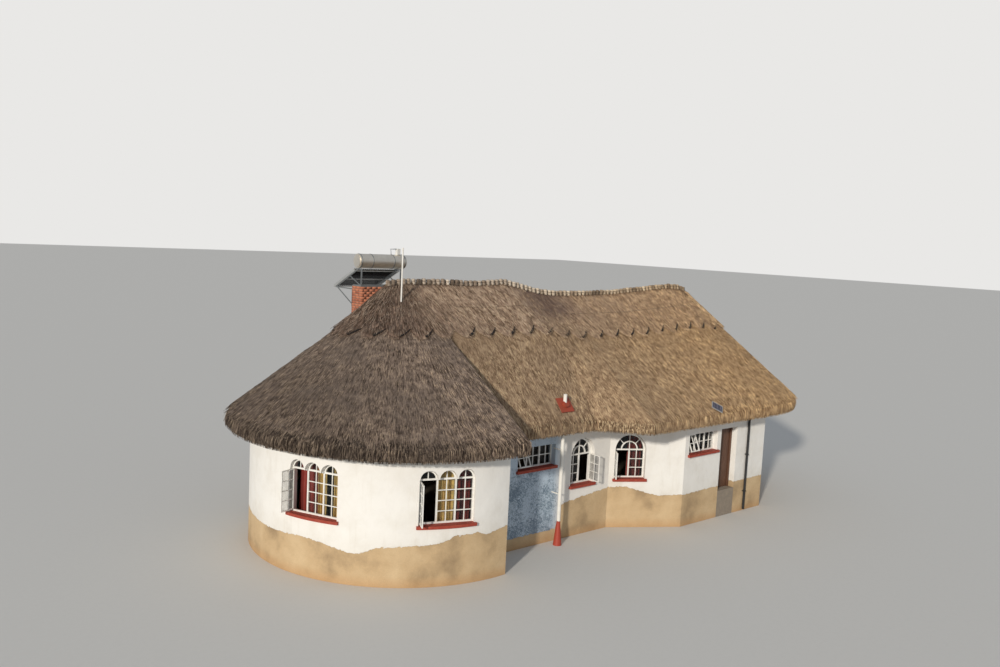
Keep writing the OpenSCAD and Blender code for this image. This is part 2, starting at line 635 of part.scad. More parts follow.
// Pipes
// slope of the thatch over the recess, and the height of the flashing that lies on it
recess_eave = -recess_y + eave_out + 20;
recess_rise = (lerp(eave_top, ridge_at(flue_x*1.1), cap_f) - eave_top)/(recess_eave - cap_d);
flash_a = atan(recess_rise);
flash_z = eave_top + (recess_eave + flue_y)*recess_rise + 30/cos(flash_a);
module flue_pipe() {
  color("#efece4") translate([flue_x, flue_y, 0]) union() {
    cylinder(r1 = flue_d + 20, r2 = flue_d/2 + 3, h = 700);
    cylinder(d = flue_d, h = flash_z + 320);
    for (z = [0.4, 0.75]*wall_h) translate([-12, 40, z]) cube([24, flue_out - 40, 30]);
  }
}
module flue_flashing() {
  color("#b0503a") translate([flue_x, flue_y, flash_z]) rotate([flash_a, 0, 0]) difference() {
    union() {
      translate([-260, -240, 0]) cube([520, 480, 12]);
      cylinder(d = flue_d + 100, h = 90);
    }
    rotate([-flash_a, 0, 0]) translate([0, 0, -600]) cylinder(d = flue_d + 4, h = 1200);
  }
}
module drainpipe() {
  x = front_x1 - 1070;
  y = -half_w - drain_d/2 - 20;
  color("#1f1f20") union() {
    translate([x, y, 60]) cylinder(d = drain_d, h = wall_h - 270);
    for (z = [0.18, 0.52, 0.86]*wall_h) translate([x - drain_d/2 - 10, y - drain_d/2 - 5, z])
      cube([drain_d + 20, drain_d + 25, 30]);
  }
}

// the vent pole stands on the cap of the cone, its foot cut to the slope
pole_c = col_round(pole_a, ridge_x0*(1 - (pole_a - 180)/(atan2(step_y, step_x) + 180)));
pole_run = [pole_c[2] - pole_c[0], -pole_c[1]];
pole_tilt = atan((ridge_at(pole_c[2]) - eave_top)/norm(pole_run));
module vent_pole() {
  color("#e6e4de") translate(roof_pt(pole_c, pole_v, cap_gap + cap_t)) difference() {
    translate([0, 0, -pole_d]) cylinder(d = pole_d, h = pole_h + pole_d);
    rotate([0, 0, atan2(pole_run[1], pole_run[0])]) rotate([0, -pole_tilt, 0])
      translate([-2*pole_d, -2*pole_d, -4*pole_d]) cube([4*pole_d, 4*pole_d, 4*pole_d + 1]);
  }
}

// Water heater
plat_z = pier_h;
tank_z = plat_z + tank_up;
tank_x = pier_x0;
tank_y = pier_y0 + pier_d/2;
rail = 40;
post_x = [pier_x0 + 30, pier_x0 + pier_w - 30];
post_y = pier_y0 + 60;
back_y = pier_y0 + pier_d;
cradle_z = tank_z - tank_d/2 - rail;
// lower face of the collector at its upper edge, close behind the lowest line of the tank
slope_y = tank_y + 0.34*tank_d;
slope_z = cradle_z - 55;
// the rails under the collector end on arms that stand out from the pier's back
arm_y = slope_y + (slope_l - 140)*cos(slope_a);
arm_z = slope_z - (slope_l - 140)*sin(slope_a) - rail;
strut_h = 0.62*tank_up;
// a slanting bar in the plane x = 0 from one point to another, given as [y, z]
module slant(a, b, w, t) {
  d = b - a;
  translate([-w/2, a[0], a[1]]) rotate([atan2(d[1], d[0]), 0, 0]) translate([0, 0, -t/2]) cube([w, norm(d), t]);
}
module heater_pier() {
  color("#9a4a35") translate([pier_x0, pier_y0, 0]) cube([pier_w, pier_d, pier_h]);
}
module heater_frame() {
  color("#8f9294") union() {
    for (y = [post_y, back_y - 60]) translate([pier_x0, y - rail/2, plat_z]) cube([pier_w, rail, rail]);
    for (x = post_x) translate([x, 0, 0]) {
      translate([-rail/2, post_y - rail/2, plat_z]) cube([rail, back_y - post_y, rail]);
      translate([-rail/2, post_y - rail/2, plat_z]) cube([rail, rail, cradle_z + rail - plat_z]);
      translate([-rail/2, post_y - rail/2, cradle_z]) cube([rail, slope_y - 20 - post_y, rail]);
      translate([0, slope_y, slope_z]) rotate([-slope_a, 0, 0])
        translate([-15, -180, -rail - lie_gap]) cube([30, slope_l + 60, rail]);
      slant([post_y + 20, plat_z + 20], [slope_y + 340, slope_z - 0.49*340 - 22], 20, 30);
      translate([-rail/2, back_y + lie_gap, arm_z - rail/2]) cube([rail, arm_y - back_y, rail]);
      slant([back_y + 10, arm_z - strut_h], [arm_y - 60, arm_z], 20, 30);
      translate([-30, back_y + lie_gap, arm_z - strut_h - 60]) cube([60, 12, strut_h + 80]);
    }
  }
}
module water_tank() {
  color("#c9ccca") translate([tank_x, tank_y, tank_z]) rotate([0, 90, 0]) union() {
    cylinder(d = tank_d, h = tank_l);
    translate([0, 0, -30]) cylinder(d = tank_d - 80, h = tank_l + 60);
  }
}
module solar_collector() {
  color("#22262b") translate([tank_x, slope_y, slope_z]) rotate([-slope_a, 0, 0]) cube([tank_l, slope_l, 90]);
}
module header_box() {
  color("#e8e8e6") translate([tank_x + tank_l - 285, tank_y - 65, tank_z + tank_d/2]) cube([130, 130, 210]);
}
// the panel lies on the thatch near the eave
panel_y = -(eave_r - 250);
panel_x = winD_x - 60;
panel_rise = (ridge_at(panel_x + 570) - eave_top)/eave_r;
panel_a = atan(panel_rise);
panel_z = eave_top + (eave_r + panel_y)*panel_rise + 20;
module light_panel() {
  color("#2b2733") translate([panel_x, panel_y, panel_z]) rotate([panel_a, 0, 0]) rotate([0, 0, 42])
    translate([-190, -190, 0]) cube([380, 380, 25]);
}

floor_slab();
round_wall_front();
round_wall_left();
round_wall_back();
return_wall();
return_gable();
recess_wall();
bay_wall();
front_wall();
front_wall_right();
door_lintel();
door_threshold();
end_wall();
back_wall();
thatch_round_front();
thatch_round_back();
thatch_front();
thatch_back();
ridge_cap_front();
ridge_cap_back();
ridge_crest();
round_window_left();
round_window_right();
recess_window();
arched_window_left();
arched_window_right();
front_window();
back_window_left();
back_window_right();
window_glass();
sill_round_left();
sill_round_right();
sill_recess();
sill_arched_left();
sill_arched_right();
sill_front();
sill_back_left();
sill_back_right();
door_frame();
entrance_door();
flue_pipe();
flue_flashing();
drainpipe();
heater_pier();
heater_frame();
water_tank();
solar_collector();
header_box();
vent_pole();
light_panel();
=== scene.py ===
"""Looks of a thatched rondavel hut: a round room and a long range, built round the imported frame."""

from __future__ import annotations

import logging
import math
from dataclasses import dataclass, field
from enum import Enum
from typing import Sequence

import bmesh
import bpy
import numpy as np
from mathutils import Matrix, Vector, noise


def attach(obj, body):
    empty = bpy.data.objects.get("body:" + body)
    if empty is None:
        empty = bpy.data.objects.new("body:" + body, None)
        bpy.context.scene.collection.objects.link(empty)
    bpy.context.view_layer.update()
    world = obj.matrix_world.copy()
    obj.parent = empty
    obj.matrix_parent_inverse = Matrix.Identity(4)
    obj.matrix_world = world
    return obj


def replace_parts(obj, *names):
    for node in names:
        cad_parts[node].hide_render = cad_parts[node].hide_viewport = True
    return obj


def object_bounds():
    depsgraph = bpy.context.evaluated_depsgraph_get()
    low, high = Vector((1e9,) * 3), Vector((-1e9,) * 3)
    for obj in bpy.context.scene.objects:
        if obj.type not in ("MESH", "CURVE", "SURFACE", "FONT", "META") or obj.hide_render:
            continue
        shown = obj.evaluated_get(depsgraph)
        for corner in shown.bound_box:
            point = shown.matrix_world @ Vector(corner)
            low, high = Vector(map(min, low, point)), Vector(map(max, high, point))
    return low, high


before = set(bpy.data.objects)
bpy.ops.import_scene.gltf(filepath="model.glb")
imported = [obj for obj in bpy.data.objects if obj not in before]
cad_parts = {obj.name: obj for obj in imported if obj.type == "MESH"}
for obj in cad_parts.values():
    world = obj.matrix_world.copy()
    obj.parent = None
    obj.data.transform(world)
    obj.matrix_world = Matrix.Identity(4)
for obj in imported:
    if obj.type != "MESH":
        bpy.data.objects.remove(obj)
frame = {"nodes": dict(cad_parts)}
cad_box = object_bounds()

log = logging.getLogger("rondavel")
HOUSE, DOOR = "house", "door"
INSET = 0.003  # how far copied pieces stay inside the frame's box, in metres
LUMP_HIGH, LUMP_SINK = 0.032, 0.018  # size of the thatch's lumps and how far they sink, in metres
Rgba = tuple[float, float, float, float]


# Small tools
def linear(code: str) -> Rgba:
    """Turns an sRGB hex colour into linear colour with full alpha.

    Args:
        code: a colour such as "#a8432f".

    Returns:
        Linear red, green, blue and alpha.
    """
    parts = [int(code[i : i + 2], 16) / 255 for i in (1, 3, 5)]
    return (*(p / 12.92 if p <= 0.04045 else ((p + 0.055) / 1.055) ** 2.4 for p in parts), 1.0)


def wire(node: bpy.types.Node, settings: dict | None = None, links: dict | None = None) -> bpy.types.Node:
    """Gives a node its settings and links.

    Args:
        node: the node.
        settings: property or socket names, or socket numbers, and their values; "ramp" and "curve" hold
            their stops.
        links: input names or numbers, and the node or the output that feeds each; a node feeds it with the
            first output that it has in use.

    Returns:
        The same node.
    """
    for key, value in (settings or {}).items():
        if key == "ramp":
            stops = node.color_ramp.elements
            while len(stops) < len(value):
                stops.new(0.5)
            for stop, (place, code) in zip(stops, value):
                stop.position, stop.color = place, linear(code)
        elif key == "curve":
            points = node.mapping.curves[0].points
            while len(points) < len(value):
                points.new(0.5, 0.5)
            for point, place in zip(points, value):
                point.location, point.handle_type = place, "VECTOR"
            node.mapping.update()
        elif isinstance(key, int) or key in node.inputs:
            node.inputs[key].default_value = value
        else:
            setattr(node, key, value)
    for key, source in (links or {}).items():
        if isinstance(source, bpy.types.Node):
            source = next(output for output in source.outputs if output.enabled)
        node.id_data.links.new(source, node.inputs[key])
    return node


def add(
    tree: bpy.types.NodeTree, kind: str, settings: dict | None = None, links: dict | None = None
) -> bpy.types.Node:
    """Adds one node with its settings and links; kind is its type without its ShaderNode prefix."""
    return wire(tree.nodes.new("ShaderNode" + kind), settings, links)


def finished(
    bm: bmesh.types.BMesh, name: str, finish: "Finish", body: str = HOUSE, smooth: bool = False
) -> bpy.types.Object:
    """Makes an object from a bmesh, dresses it and lets it ride on a body.

    Args:
        bm: the shape, in metres in the frame; it is freed.
        name: the piece's name.
        finish: its finish.
        body: the body that it rides on.
        smooth: whether faces are shaded smooth.

    Returns:
        The new object.
    """
    mesh = bpy.data.meshes.new(name)
    for face in bm.faces:
        face.smooth = smooth
    bm.to_mesh(mesh)
    bm.free()
    return dressed(mesh, name, finish, body)


def dressed(mesh: bpy.types.Mesh, name: str, finish: "Finish", body: str = HOUSE) -> bpy.types.Object:
    """Links a mesh as a piece with one finish.

    Args:
        mesh: the piece's mesh.
        name: the piece's name.
        finish: its finish.
        body: the body that it rides on.

    Returns:
        The new object.
    """
    made = bpy.data.objects.new(name, mesh)
    bpy.context.scene.collection.objects.link(made)
    mesh.materials.append(finish.material())
    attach(made, body)
    log.info("%s: %d faces", name, len(mesh.polygons))
    return made


def box(
    bm: bmesh.types.BMesh, low: Sequence[float], high: Sequence[float], place: Matrix | None = None,
    bevel: float = 0.0,
) -> None:
    """Adds a box.

    Args:
        bm: the shape that gets it.
        low: its corner with the lowest coordinates.
        high: its opposite corner.
        place: where it is moved to, if anywhere.
        bevel: width of its bevelled edges in metres, or 0 for sharp ones.
    """
    low, high = Vector(low), Vector(high)
    made = bmesh.ops.create_cube(bm, size=1.0)["verts"]
    bmesh.ops.scale(bm, vec=high - low, verts=made)
    bmesh.ops.translate(bm, vec=(low + high) / 2, verts=made)
    if bevel:
        edges = list(dict.fromkeys(e for v in made for e in v.link_edges))
        done = bmesh.ops.bevel(
            bm, geom=edges, offset=bevel, affect="EDGES", segments=2, profile=0.5, material=-1
        )
        made = list({v for f in done["faces"] for v in f.verts} | {v for v in made if v.is_valid})
    if place is not None:
        bmesh.ops.transform(bm, matrix=place, verts=made)


def rod(
    bm: bmesh.types.BMesh, a: Sequence[float], b: Sequence[float], r: float, segments: int = 12,
    r2: float | None = None,
) -> None:
    """Adds a round rod or cone, closed at both ends.

    Args:
        bm: the shape that gets it.
        a: middle of its first end.
        b: middle of its other end.
        r: radius at a.
        segments: sides round it.
        r2: radius at b, if it isn't r.
    """
    a, b = Vector(a), Vector(b)
    place = Matrix.Translation((a + b) / 2) @ (b - a).to_track_quat("Z", "Y").to_matrix().to_4x4()
    r2 = r if r2 is None else r2
    bmesh.ops.create_cone(
        bm, cap_ends=True, segments=segments, radius1=r, radius2=r2, depth=(b - a).length, matrix=place
    )


def closed_coat(points: np.ndarray, flow: np.ndarray) -> bmesh.types.BMesh:
    """Bends a grid through points, and closes its long seam and its two ends.

    Args:
        points: a table of points; each row is one loop round the coat that ends where it starts.
        flow: the straw map of each point, in metres.

    Returns:
        The closed shape, with its faces outwards.
    """
    bm = bmesh.new()
    uv = bm.loops.layers.uv.new("straw")
    n, m = points.shape[0] - 1, points.shape[1] - 1
    grid = bmesh.ops.create_grid(bm, x_segments=n, y_segments=m, size=1.0)["verts"]
    bm.verts.index_update()
    at = {}
    for vert in grid:
        i, j = round((vert.co.x + 1) / 2 * n), round((vert.co.y + 1) / 2 * m)
        vert.co, at[vert.index] = points[i, j], flow[i, j]
    for face in bm.faces:
        for loop in face.loops:
            loop[uv].uv = at[loop.vert.index]
    bmesh.ops.remove_doubles(bm, verts=bm.verts, dist=1e-5)
    caps = bmesh.ops.holes_fill(bm, edges=[e for e in bm.edges if e.is_boundary], sides=0)["faces"]
    bmesh.ops.triangulate(bm, faces=caps)
    bmesh.ops.recalc_face_normals(bm, faces=bm.faces)
    return bm


Template = tuple[np.ndarray, list[tuple[int, ...]]]


def as_template(bm: bmesh.types.BMesh) -> Template:
    """Takes a shape's points and faces, so that it can be copied.

    Args:
        bm: the shape; it is freed.

    Returns:
        The points and the faces.
    """
    bm.verts.index_update()
    points = np.array([v.co[:] for v in bm.verts])
    faces = [tuple(v.index for v in f.verts) for f in bm.faces]
    bm.free()
    return points, faces


def turned(degrees: float, axis: str) -> Matrix:
    """A turn about an axis."""
    return Matrix.Rotation(math.radians(degrees), 4, axis)


def unit(way: np.ndarray) -> np.ndarray:
    """Directions of length one; a zero stays zero."""
    return way / np.maximum(np.linalg.norm(way, axis=-1, keepdims=True), 1e-9)


# Finishes
@dataclass(frozen=True)
class Finish:
    """A real finish. Each kind says how its surface was made and what that gives the eye."""

    name: str

    def material(self) -> bpy.types.Material:
        """Builds the material once.

        Returns:
            The material.
        """
        found = bpy.data.materials.get(self.name)
        if found:
            return found
        made = bpy.data.materials.new(self.name)
        made.use_nodes = True
        made.node_tree.nodes.clear()
        shader = add(made.node_tree, "BsdfPrincipled")
        add(made.node_tree, "OutputMaterial", {}, {"Surface": shader})
        self.paint(made.node_tree, shader)
        return made

    def paint(self, tree: bpy.types.NodeTree, shader: bpy.types.Node) -> None:
        """Adds the nodes that give the shader its look."""
        raise NotImplementedError


COLOURS = {"data_type": "RGBA"}  # what a Mix node of two colours is set to

# x along the house and height of the paint's torn lower edge, in metres
PAINT_EDGE = (
    (-4.44, 1.0), (-4.17, 1.07), (-3.94, 1.01), (-3.48, 0.83), (-3.27, 0.86), (-3.15, 0.98), (-2.89, 1.05),
    (-2.0, 1.11), (-1.5, 1.18), (-1.3, 1.3), (-0.6, 1.34), (-0.4, 1.24), (0.44, 1.38), (3.9, 1.12),
    (5.7, 1.3), (6.2, 1.34), (7.1, 1.04), (11.0, 1.1), (15.2, 1.15),
)
# the same on the recess wall
RECESS_EDGE = ((-4.44, 0.36), (3.5, 0.36), (3.62, 1.02), (3.9, 1.12), (5.7, 1.3), (15.2, 1.3))


@dataclass(frozen=True)
class LimeWash(Finish):
    """White masonry paint brushed over trowelled cement render, stopped at a torn edge above a bare tan band.

    The paint is matt, mottled with dust and rain runs; the render is coarse, tan and damp in patches.
    """

    paint_tone: str = "#eeece7"
    dirty_tone: str = "#cfc8ba"
    render_tone: str = "#c6ab85"
    damp_tone: str = "#9c8567"
    peel_and_painted_shade: float = 0.0
    edge: tuple = PAINT_EDGE

    def paint(self, tree: bpy.types.NodeTree, shader: bpy.types.Node) -> None:
        """Lays the paint over the bare render down to its torn edge.

        Args:
            tree: the material's nodes.
            shader: the shader that they feed.
        """
        coords = add(tree, "TexCoord").outputs["Object"]
        axes = add(tree, "SeparateXYZ", {}, {0: coords})
        # the torn edge follows heights measured along the house, with lumps of 0.1 m and crumbs of 10 mm
        along = add(tree, "MapRange", {"From Min": -4.5, "From Max": 15.5}, {"Value": axes.outputs["X"]})
        stops = [((x + 4.5) / 20, (z - 0.2) / 1.8) for x, z in self.edge]
        edge = add(tree, "FloatCurve", {"curve": stops}, {"Value": along})
        torn = add(tree, "TexNoise", {"Scale": 9.0, "Detail": 6.0, "Roughness": 0.65}, {"Vector": coords})
        height = add(tree, "MapRange", {"To Min": 0.2, "To Max": 2.0}, {"Value": edge})
        ragged = add(tree, "Math", {"operation": "MULTIPLY_ADD", 1: 0.16, 2: -0.08}, {0: torn})
        level = add(tree, "Math", {"operation": "ADD"}, {0: height, 1: ragged})
        above = add(tree, "Math", {"operation": "SUBTRACT"}, {0: axes.outputs["Z"], 1: level})
        painted = add(tree, "MapRange", {"From Min": -0.004, "From Max": 0.006}, {"Value": above})
        # mottling, rain runs 0.1 m wide and dust near the bottom
        mottle = add(tree, "TexNoise", {"Scale": 1.7, "Detail": 6.0, "Roughness": 0.6}, {"Vector": coords})
        stretched = add(tree, "Mapping", {"Scale": (2.6, 2.6, 0.4)}, {"Vector": coords})
        runs = add(tree, "TexNoise", {"Scale": 2.0, "Detail": 4.0, "Roughness": 0.6}, {"Vector": stretched})
        runs_on = add(tree, "MapRange", {"From Min": 0.56, "From Max": 0.85, "To Max": 0.3}, {"Value": runs})
        mottle_on = add(
            tree, "MapRange", {"From Min": 0.45, "From Max": 0.75, "To Max": 0.3}, {"Value": mottle}
        )
        dust = add(tree, "MapRange", {"From Min": 0.55, "From Max": 0.0, "To Max": 0.45}, {"Value": above})
        dirt = add(tree, "Math", {"operation": "ADD"}, {0: runs_on, 1: mottle_on})
        dusty = add(tree, "Math", {"operation": "MULTIPLY"}, {0: dust, 1: mottle})
        dirt_all = add(tree, "Math", {"operation": "ADD", "use_clamp": True}, {0: dirt, 1: dusty})
        tones = {**COLOURS, 6: linear(self.paint_tone), 7: linear(self.dirty_tone)}
        coat = add(tree, "Mix", tones, {0: dirt_all})
        if self.peel_and_painted_shade:
            # painted shade: the coat is tinted blue-grey in the shaded corner, and turns white again past the
            # flue pipe where the wall is lit
            out_of_painted_shade = add(tree, "MapRange", {"From Min": 3.3, "From Max": 3.75}, {"Value": axes.outputs["X"]})
            coat = add(tree, "Mix", {**COLOURS, 7: linear("#ebe8e2")}, {0: out_of_painted_shade, 6: coat})
            # flaked paint with dark mould under it, in patches of 50 to 500 mm below the window; the mould's
            # blue-grey tint is painted shade
            flakes = add(
                tree, "TexNoise", {"Scale": 15.0, "Detail": 9.0, "Roughness": 0.8, "Distortion": 1.6},
                {"Vector": coords},
            )
            band = add(
                tree, "MapRange", {"From Min": 2.6, "From Max": 1.9, "To Max": 0.09 * self.peel_and_painted_shade},
                {"Value": axes.outputs["Z"]},
            )
            aside = add(
                tree, "MapRange", {"From Min": 4.0, "From Max": 3.3, "To Min": -0.16, "To Max": 0.0},
                {"Value": axes.outputs["X"]},
            )
            near = add(tree, "Math", {"operation": "ADD"}, {0: band, 1: aside})
            spread = add(tree, "TexNoise", {"Scale": 2.0, "Detail": 3.0}, {"Vector": coords})
            thick = add(tree, "Math", {"operation": "MULTIPLY_ADD", 1: 0.34, 2: -0.13}, {0: spread})
            part = add(tree, "Math", {"operation": "ADD"}, {0: flakes, 1: thick})
            flaky = add(tree, "Math", {"operation": "ADD"}, {0: part, 1: near})
            mould = add(tree, "MapRange", {"From Min": 0.62, "From Max": 0.66}, {"Value": flaky})
            coat = add(tree, "Mix", {**COLOURS, 7: linear("#5f7183")}, {0: mould, 6: coat})
            # a pale rim round each flake, tinted blue-grey as painted shade
            flake_rim = add(
                tree, "MapRange", {"From Min": 0.6, "From Max": 0.64, "To Max": 0.3}, {"Value": flaky}
            )
            coat = add(tree, "Mix", {**COLOURS, 7: linear("#8fa0ad")}, {0: flake_rim, 6: coat})
        # bare render: patches of damp, red soil splashed on the foot
        patches = add(tree, "TexNoise", {"Scale": 0.9, "Detail": 5.0, "Roughness": 0.55}, {"Vector": coords})
        tans = [(0.3, self.damp_tone), (0.5, self.render_tone), (0.72, "#d6bd97")]
        tan = add(tree, "ValToRGB", {"ramp": tans}, {"Fac": patches})
        splash = add(
            tree, "MapRange", {"From Min": 0.3, "From Max": 0.0, "To Max": 0.6}, {"Value": axes.outputs["Z"]}
        )
        bare = add(tree, "Mix", {**COLOURS, 7: linear("#b98f62")}, {0: splash, 6: tan})
        fine = add(tree, "TexNoise", {"Scale": 70.0, "Detail": 3.0}, {"Vector": coords})
        grain = add(
            tree, "MapRange", {"From Min": 0.3, "From Max": 0.7, "To Min": 0.86, "To Max": 1.08},
            {"Value": fine},
        )
        bare = add(tree, "VectorMath", {"operation": "SCALE"}, {0: bare, 3: grain})
        colour = add(tree, "Mix", COLOURS, {0: painted, 6: bare, 7: coat})
        rough = add(tree, "MapRange", {"To Min": 0.95, "To Max": 0.78}, {"Value": painted})
        # trowel waves of 0.3 m, sand grit, and the paint standing 2 mm proud at its torn edge
        waves = add(tree, "TexNoise", {"Scale": 3.2, "Detail": 4.0, "Roughness": 0.5}, {"Vector": coords})
        swell = add(tree, "Bump", {"Strength": 0.55, "Distance": 0.03}, {"Height": waves})
        grit = add(tree, "Bump", {"Strength": 0.35, "Distance": 0.004}, {"Height": fine, "Normal": swell})
        lip = add(tree, "Bump", {"Strength": 0.8, "Distance": 0.008}, {"Height": painted, "Normal": grit})
        wire(shader, {"Specular IOR Level": 0.3}, {"Base Color": colour, "Roughness": rough, "Normal": lip})


@dataclass(frozen=True)
class Straw(Finish):
    """Thatching grass, combed down the slope and weathered grey-brown, with paler worn stalks.

    Stalks of 3 to 5 mm are too fine to show, so they are drawn as streaks 20 mm wide, with broader ones of
    90 mm among them. The pattern follows the piece's own straw map: metres along the eave and up the slope.
    """

    dark: str = "#3f342b"
    middle: str = "#6e5c4c"
    pale: str = "#9c8871"
    weather: str = "#5a514a"
    loose: bool = False
    painted_valley_shade: bool = False
    stain: bool = False

    def paint(self, tree: bpy.types.NodeTree, shader: bpy.types.Node) -> None:
        """Lays the streaks of straw, and where the piece has them its damp and its soot.

        Args:
            tree: the material's nodes.
            shader: the shader that they feed.
        """
        coords = add(tree, "TexCoord").outputs["Object"]
        blotch = add(tree, "TexNoise", {"Scale": 0.55, "Detail": 5.0, "Roughness": 0.6}, {"Vector": coords})
        tufts = add(tree, "TexNoise", {"Scale": 5.0, "Detail": 3.0, "Roughness": 0.6}, {"Vector": coords})
        if self.loose:
            tone = add(tree, "Attribute", {"attribute_name": "tone"}).outputs["Fac"]
            streak = add(tree, "Math", {"operation": "MULTIPLY_ADD", 1: 0.75, 2: 0.12}, {0: tone})
        else:
            flow = add(tree, "UVMap", {"uv_map": "straw"})
            narrow = add(tree, "Mapping", {"Scale": (48.0, 6.0, 1.0)}, {"Vector": flow})
            fine = add(
                tree, "TexNoise", {"Scale": 1.0, "Detail": 3.0, "Roughness": 0.65, "Distortion": 0.25},
                {"Vector": narrow},
            )
            wide = add(tree, "Mapping", {"Scale": (11.0, 1.6, 1.0)}, {"Vector": flow})
            broad = add(tree, "TexNoise", {"Scale": 1.0, "Detail": 3.0, "Roughness": 0.6}, {"Vector": wide})
            streak = add(tree, "Math", {"operation": "MULTIPLY", 1: 0.4}, {0: broad})
            streak = add(tree, "Math", {"operation": "MULTIPLY_ADD", 1: 0.6}, {0: fine, 2: streak})
        local = add(tree, "Math", {"operation": "MULTIPLY_ADD", 1: 0.35, 2: -0.175}, {0: tufts})
        mixed = add(tree, "Math", {"operation": "ADD"}, {0: streak, 1: local})
        straws = [(0.35, self.dark), (0.5, self.middle), (0.66, self.pale)]
        colour = add(tree, "ValToRGB", {"ramp": straws}, {"Fac": mixed})
        worn = add(tree, "MapRange", {"From Min": 0.42, "From Max": 0.68, "To Max": 0.55}, {"Value": blotch})
        colour = add(tree, "Mix", {**COLOURS, 7: linear(self.weather)}, {0: worn, 6: colour})
        axes = add(tree, "SeparateXYZ", {}, {0: coords})
        # darker towards the near end, warmer and paler towards the far end
        darker_near_end = add(
            tree, "MapRange", {"From Min": -4.2, "From Max": -0.8, "To Min": 0.62},
            {"Value": axes.outputs["X"]},
        )
        colour = add(tree, "VectorMath", {"operation": "SCALE"}, {0: colour, 3: darker_near_end})
        far = add(tree, "MapRange", {"From Min": 3.5, "From Max": 11.0}, {"Value": axes.outputs["X"]})
        warm = add(tree, "Mix", {**COLOURS, 6: (1, 1, 1, 1), 7: (1.26, 1.18, 1.0, 1)}, {0: far})
        colour = add(tree, "VectorMath", {"operation": "MULTIPLY"}, {0: colour, 1: warm})
        if self.stain:
            # the older, darker straw of the round room runs up into the layer's left end
            young = add(tree, "MapRange", {"From Min": -0.9, "From Max": 0.9}, {"Value": axes.outputs["X"]})
            old = add(tree, "Mix", {**COLOURS, 6: (0.66, 0.64, 0.68, 1), 7: (1, 1, 1, 1)}, {0: young})
            colour = add(tree, "VectorMath", {"operation": "MULTIPLY"}, {0: colour, 1: old})
            # damp violet-brown patch in the upper straw under the dip of the ridge, 1.5 m wide
            aside = add(tree, "Math", {"operation": "SUBTRACT", 1: 5.3}, {0: axes.outputs["X"]})
            away = add(tree, "Math", {"operation": "ABSOLUTE"}, {0: aside})
            near = add(tree, "MapRange", {"From Min": 1.5, "From Max": 0.4}, {"Value": away})
            high = add(tree, "MapRange", {"From Min": 6.35, "From Max": 6.75}, {"Value": axes.outputs["Z"]})
            both = add(tree, "Math", {"operation": "MULTIPLY"}, {0: near, 1: high})
            patchy = add(
                tree, "MapRange", {"From Min": 0.3, "From Max": 0.6, "To Min": 0.35, "To Max": 0.85},
                {"Value": tufts},
            )
            dark_straw = add(tree, "Math", {"operation": "MULTIPLY"}, {0: both, 1: patchy})
            colour = add(tree, "Mix", {**COLOURS, 7: linear("#6a5752")}, {0: dark_straw, 6: colour})
        if self.painted_valley_shade:
            # painted shade: near-black straw in the valley beside the cone's flank, where the flank's shadow
            # falls, 0.2 m wide and fading out up the slope
            line = add(
                tree, "Math", {"operation": "MULTIPLY_ADD", 1: 0.0975},
                {0: axes.outputs["Y"], 2: axes.outputs["X"]},
            )
            wavy = add(tree, "Math", {"operation": "MULTIPLY_ADD", 1: -0.16}, {0: tufts, 2: line})
            fade = {"From Min": -4.2, "From Max": -1.2, "To Min": 0.2, "To Max": 0.05}
            wide = add(tree, "MapRange", fade, {"Value": axes.outputs["Y"]})
            dark = {"From Min": -0.09, "To Min": 0.92, "To Max": 0.0}
            dark_straw = add(tree, "MapRange", dark, {"Value": wavy, "From Max": wide})
            colour = add(tree, "Mix", {**COLOURS, 7: linear("#1b1511")}, {0: dark_straw, 6: colour})
        wire(shader, {"Roughness": 0.92, "Specular IOR Level": 0.18}, {"Base Color": colour})
        if not self.loose:
            bump = add(tree, "Bump", {"Strength": 0.9, "Distance": 0.03}, {"Height": mixed})
            wire(shader, {}, {"Normal": bump})


@dataclass(frozen=True)
class Enamel(Finish):
    """Paint on steel, wood or cement: an even coat with brush marks, chalky wear and grime in patches."""

    tone: str = "#f1f0ec"
    worn_tone: str = "#c9c5bb"
    wear: float = 0.3
    rough: float = 0.45
    grain_mm: float = 12.0

    def paint(self, tree: bpy.types.NodeTree, shader: bpy.types.Node) -> None:
        """Lays the coat with its wear, its uneven gloss and its brush marks.

        Args:
            tree: the material's nodes.
            shader: the shader that they feed.
        """
        coords = add(tree, "TexCoord").outputs["Object"]
        worn = add(tree, "TexNoise", {"Scale": 7.0, "Detail": 7.0, "Roughness": 0.7}, {"Vector": coords})
        amount = add(
            tree, "MapRange", {"From Min": 0.45, "From Max": 0.7, "To Max": self.wear}, {"Value": worn}
        )
        tones = {**COLOURS, 6: linear(self.tone), 7: linear(self.worn_tone)}
        colour = add(tree, "Mix", tones, {0: amount})
        rough = add(
            tree, "MapRange", {"To Min": self.rough, "To Max": min(1.0, self.rough + 0.25)}, {"Value": worn}
        )
        grain = add(tree, "TexNoise", {"Scale": 1000 / self.grain_mm, "Detail": 3.0}, {"Vector": coords})
        bump = add(tree, "Bump", {"Strength": 0.25, "Distance": 0.002}, {"Height": grain})
        wire(shader, {}, {"Base Color": colour, "Roughness": rough, "Normal": bump})


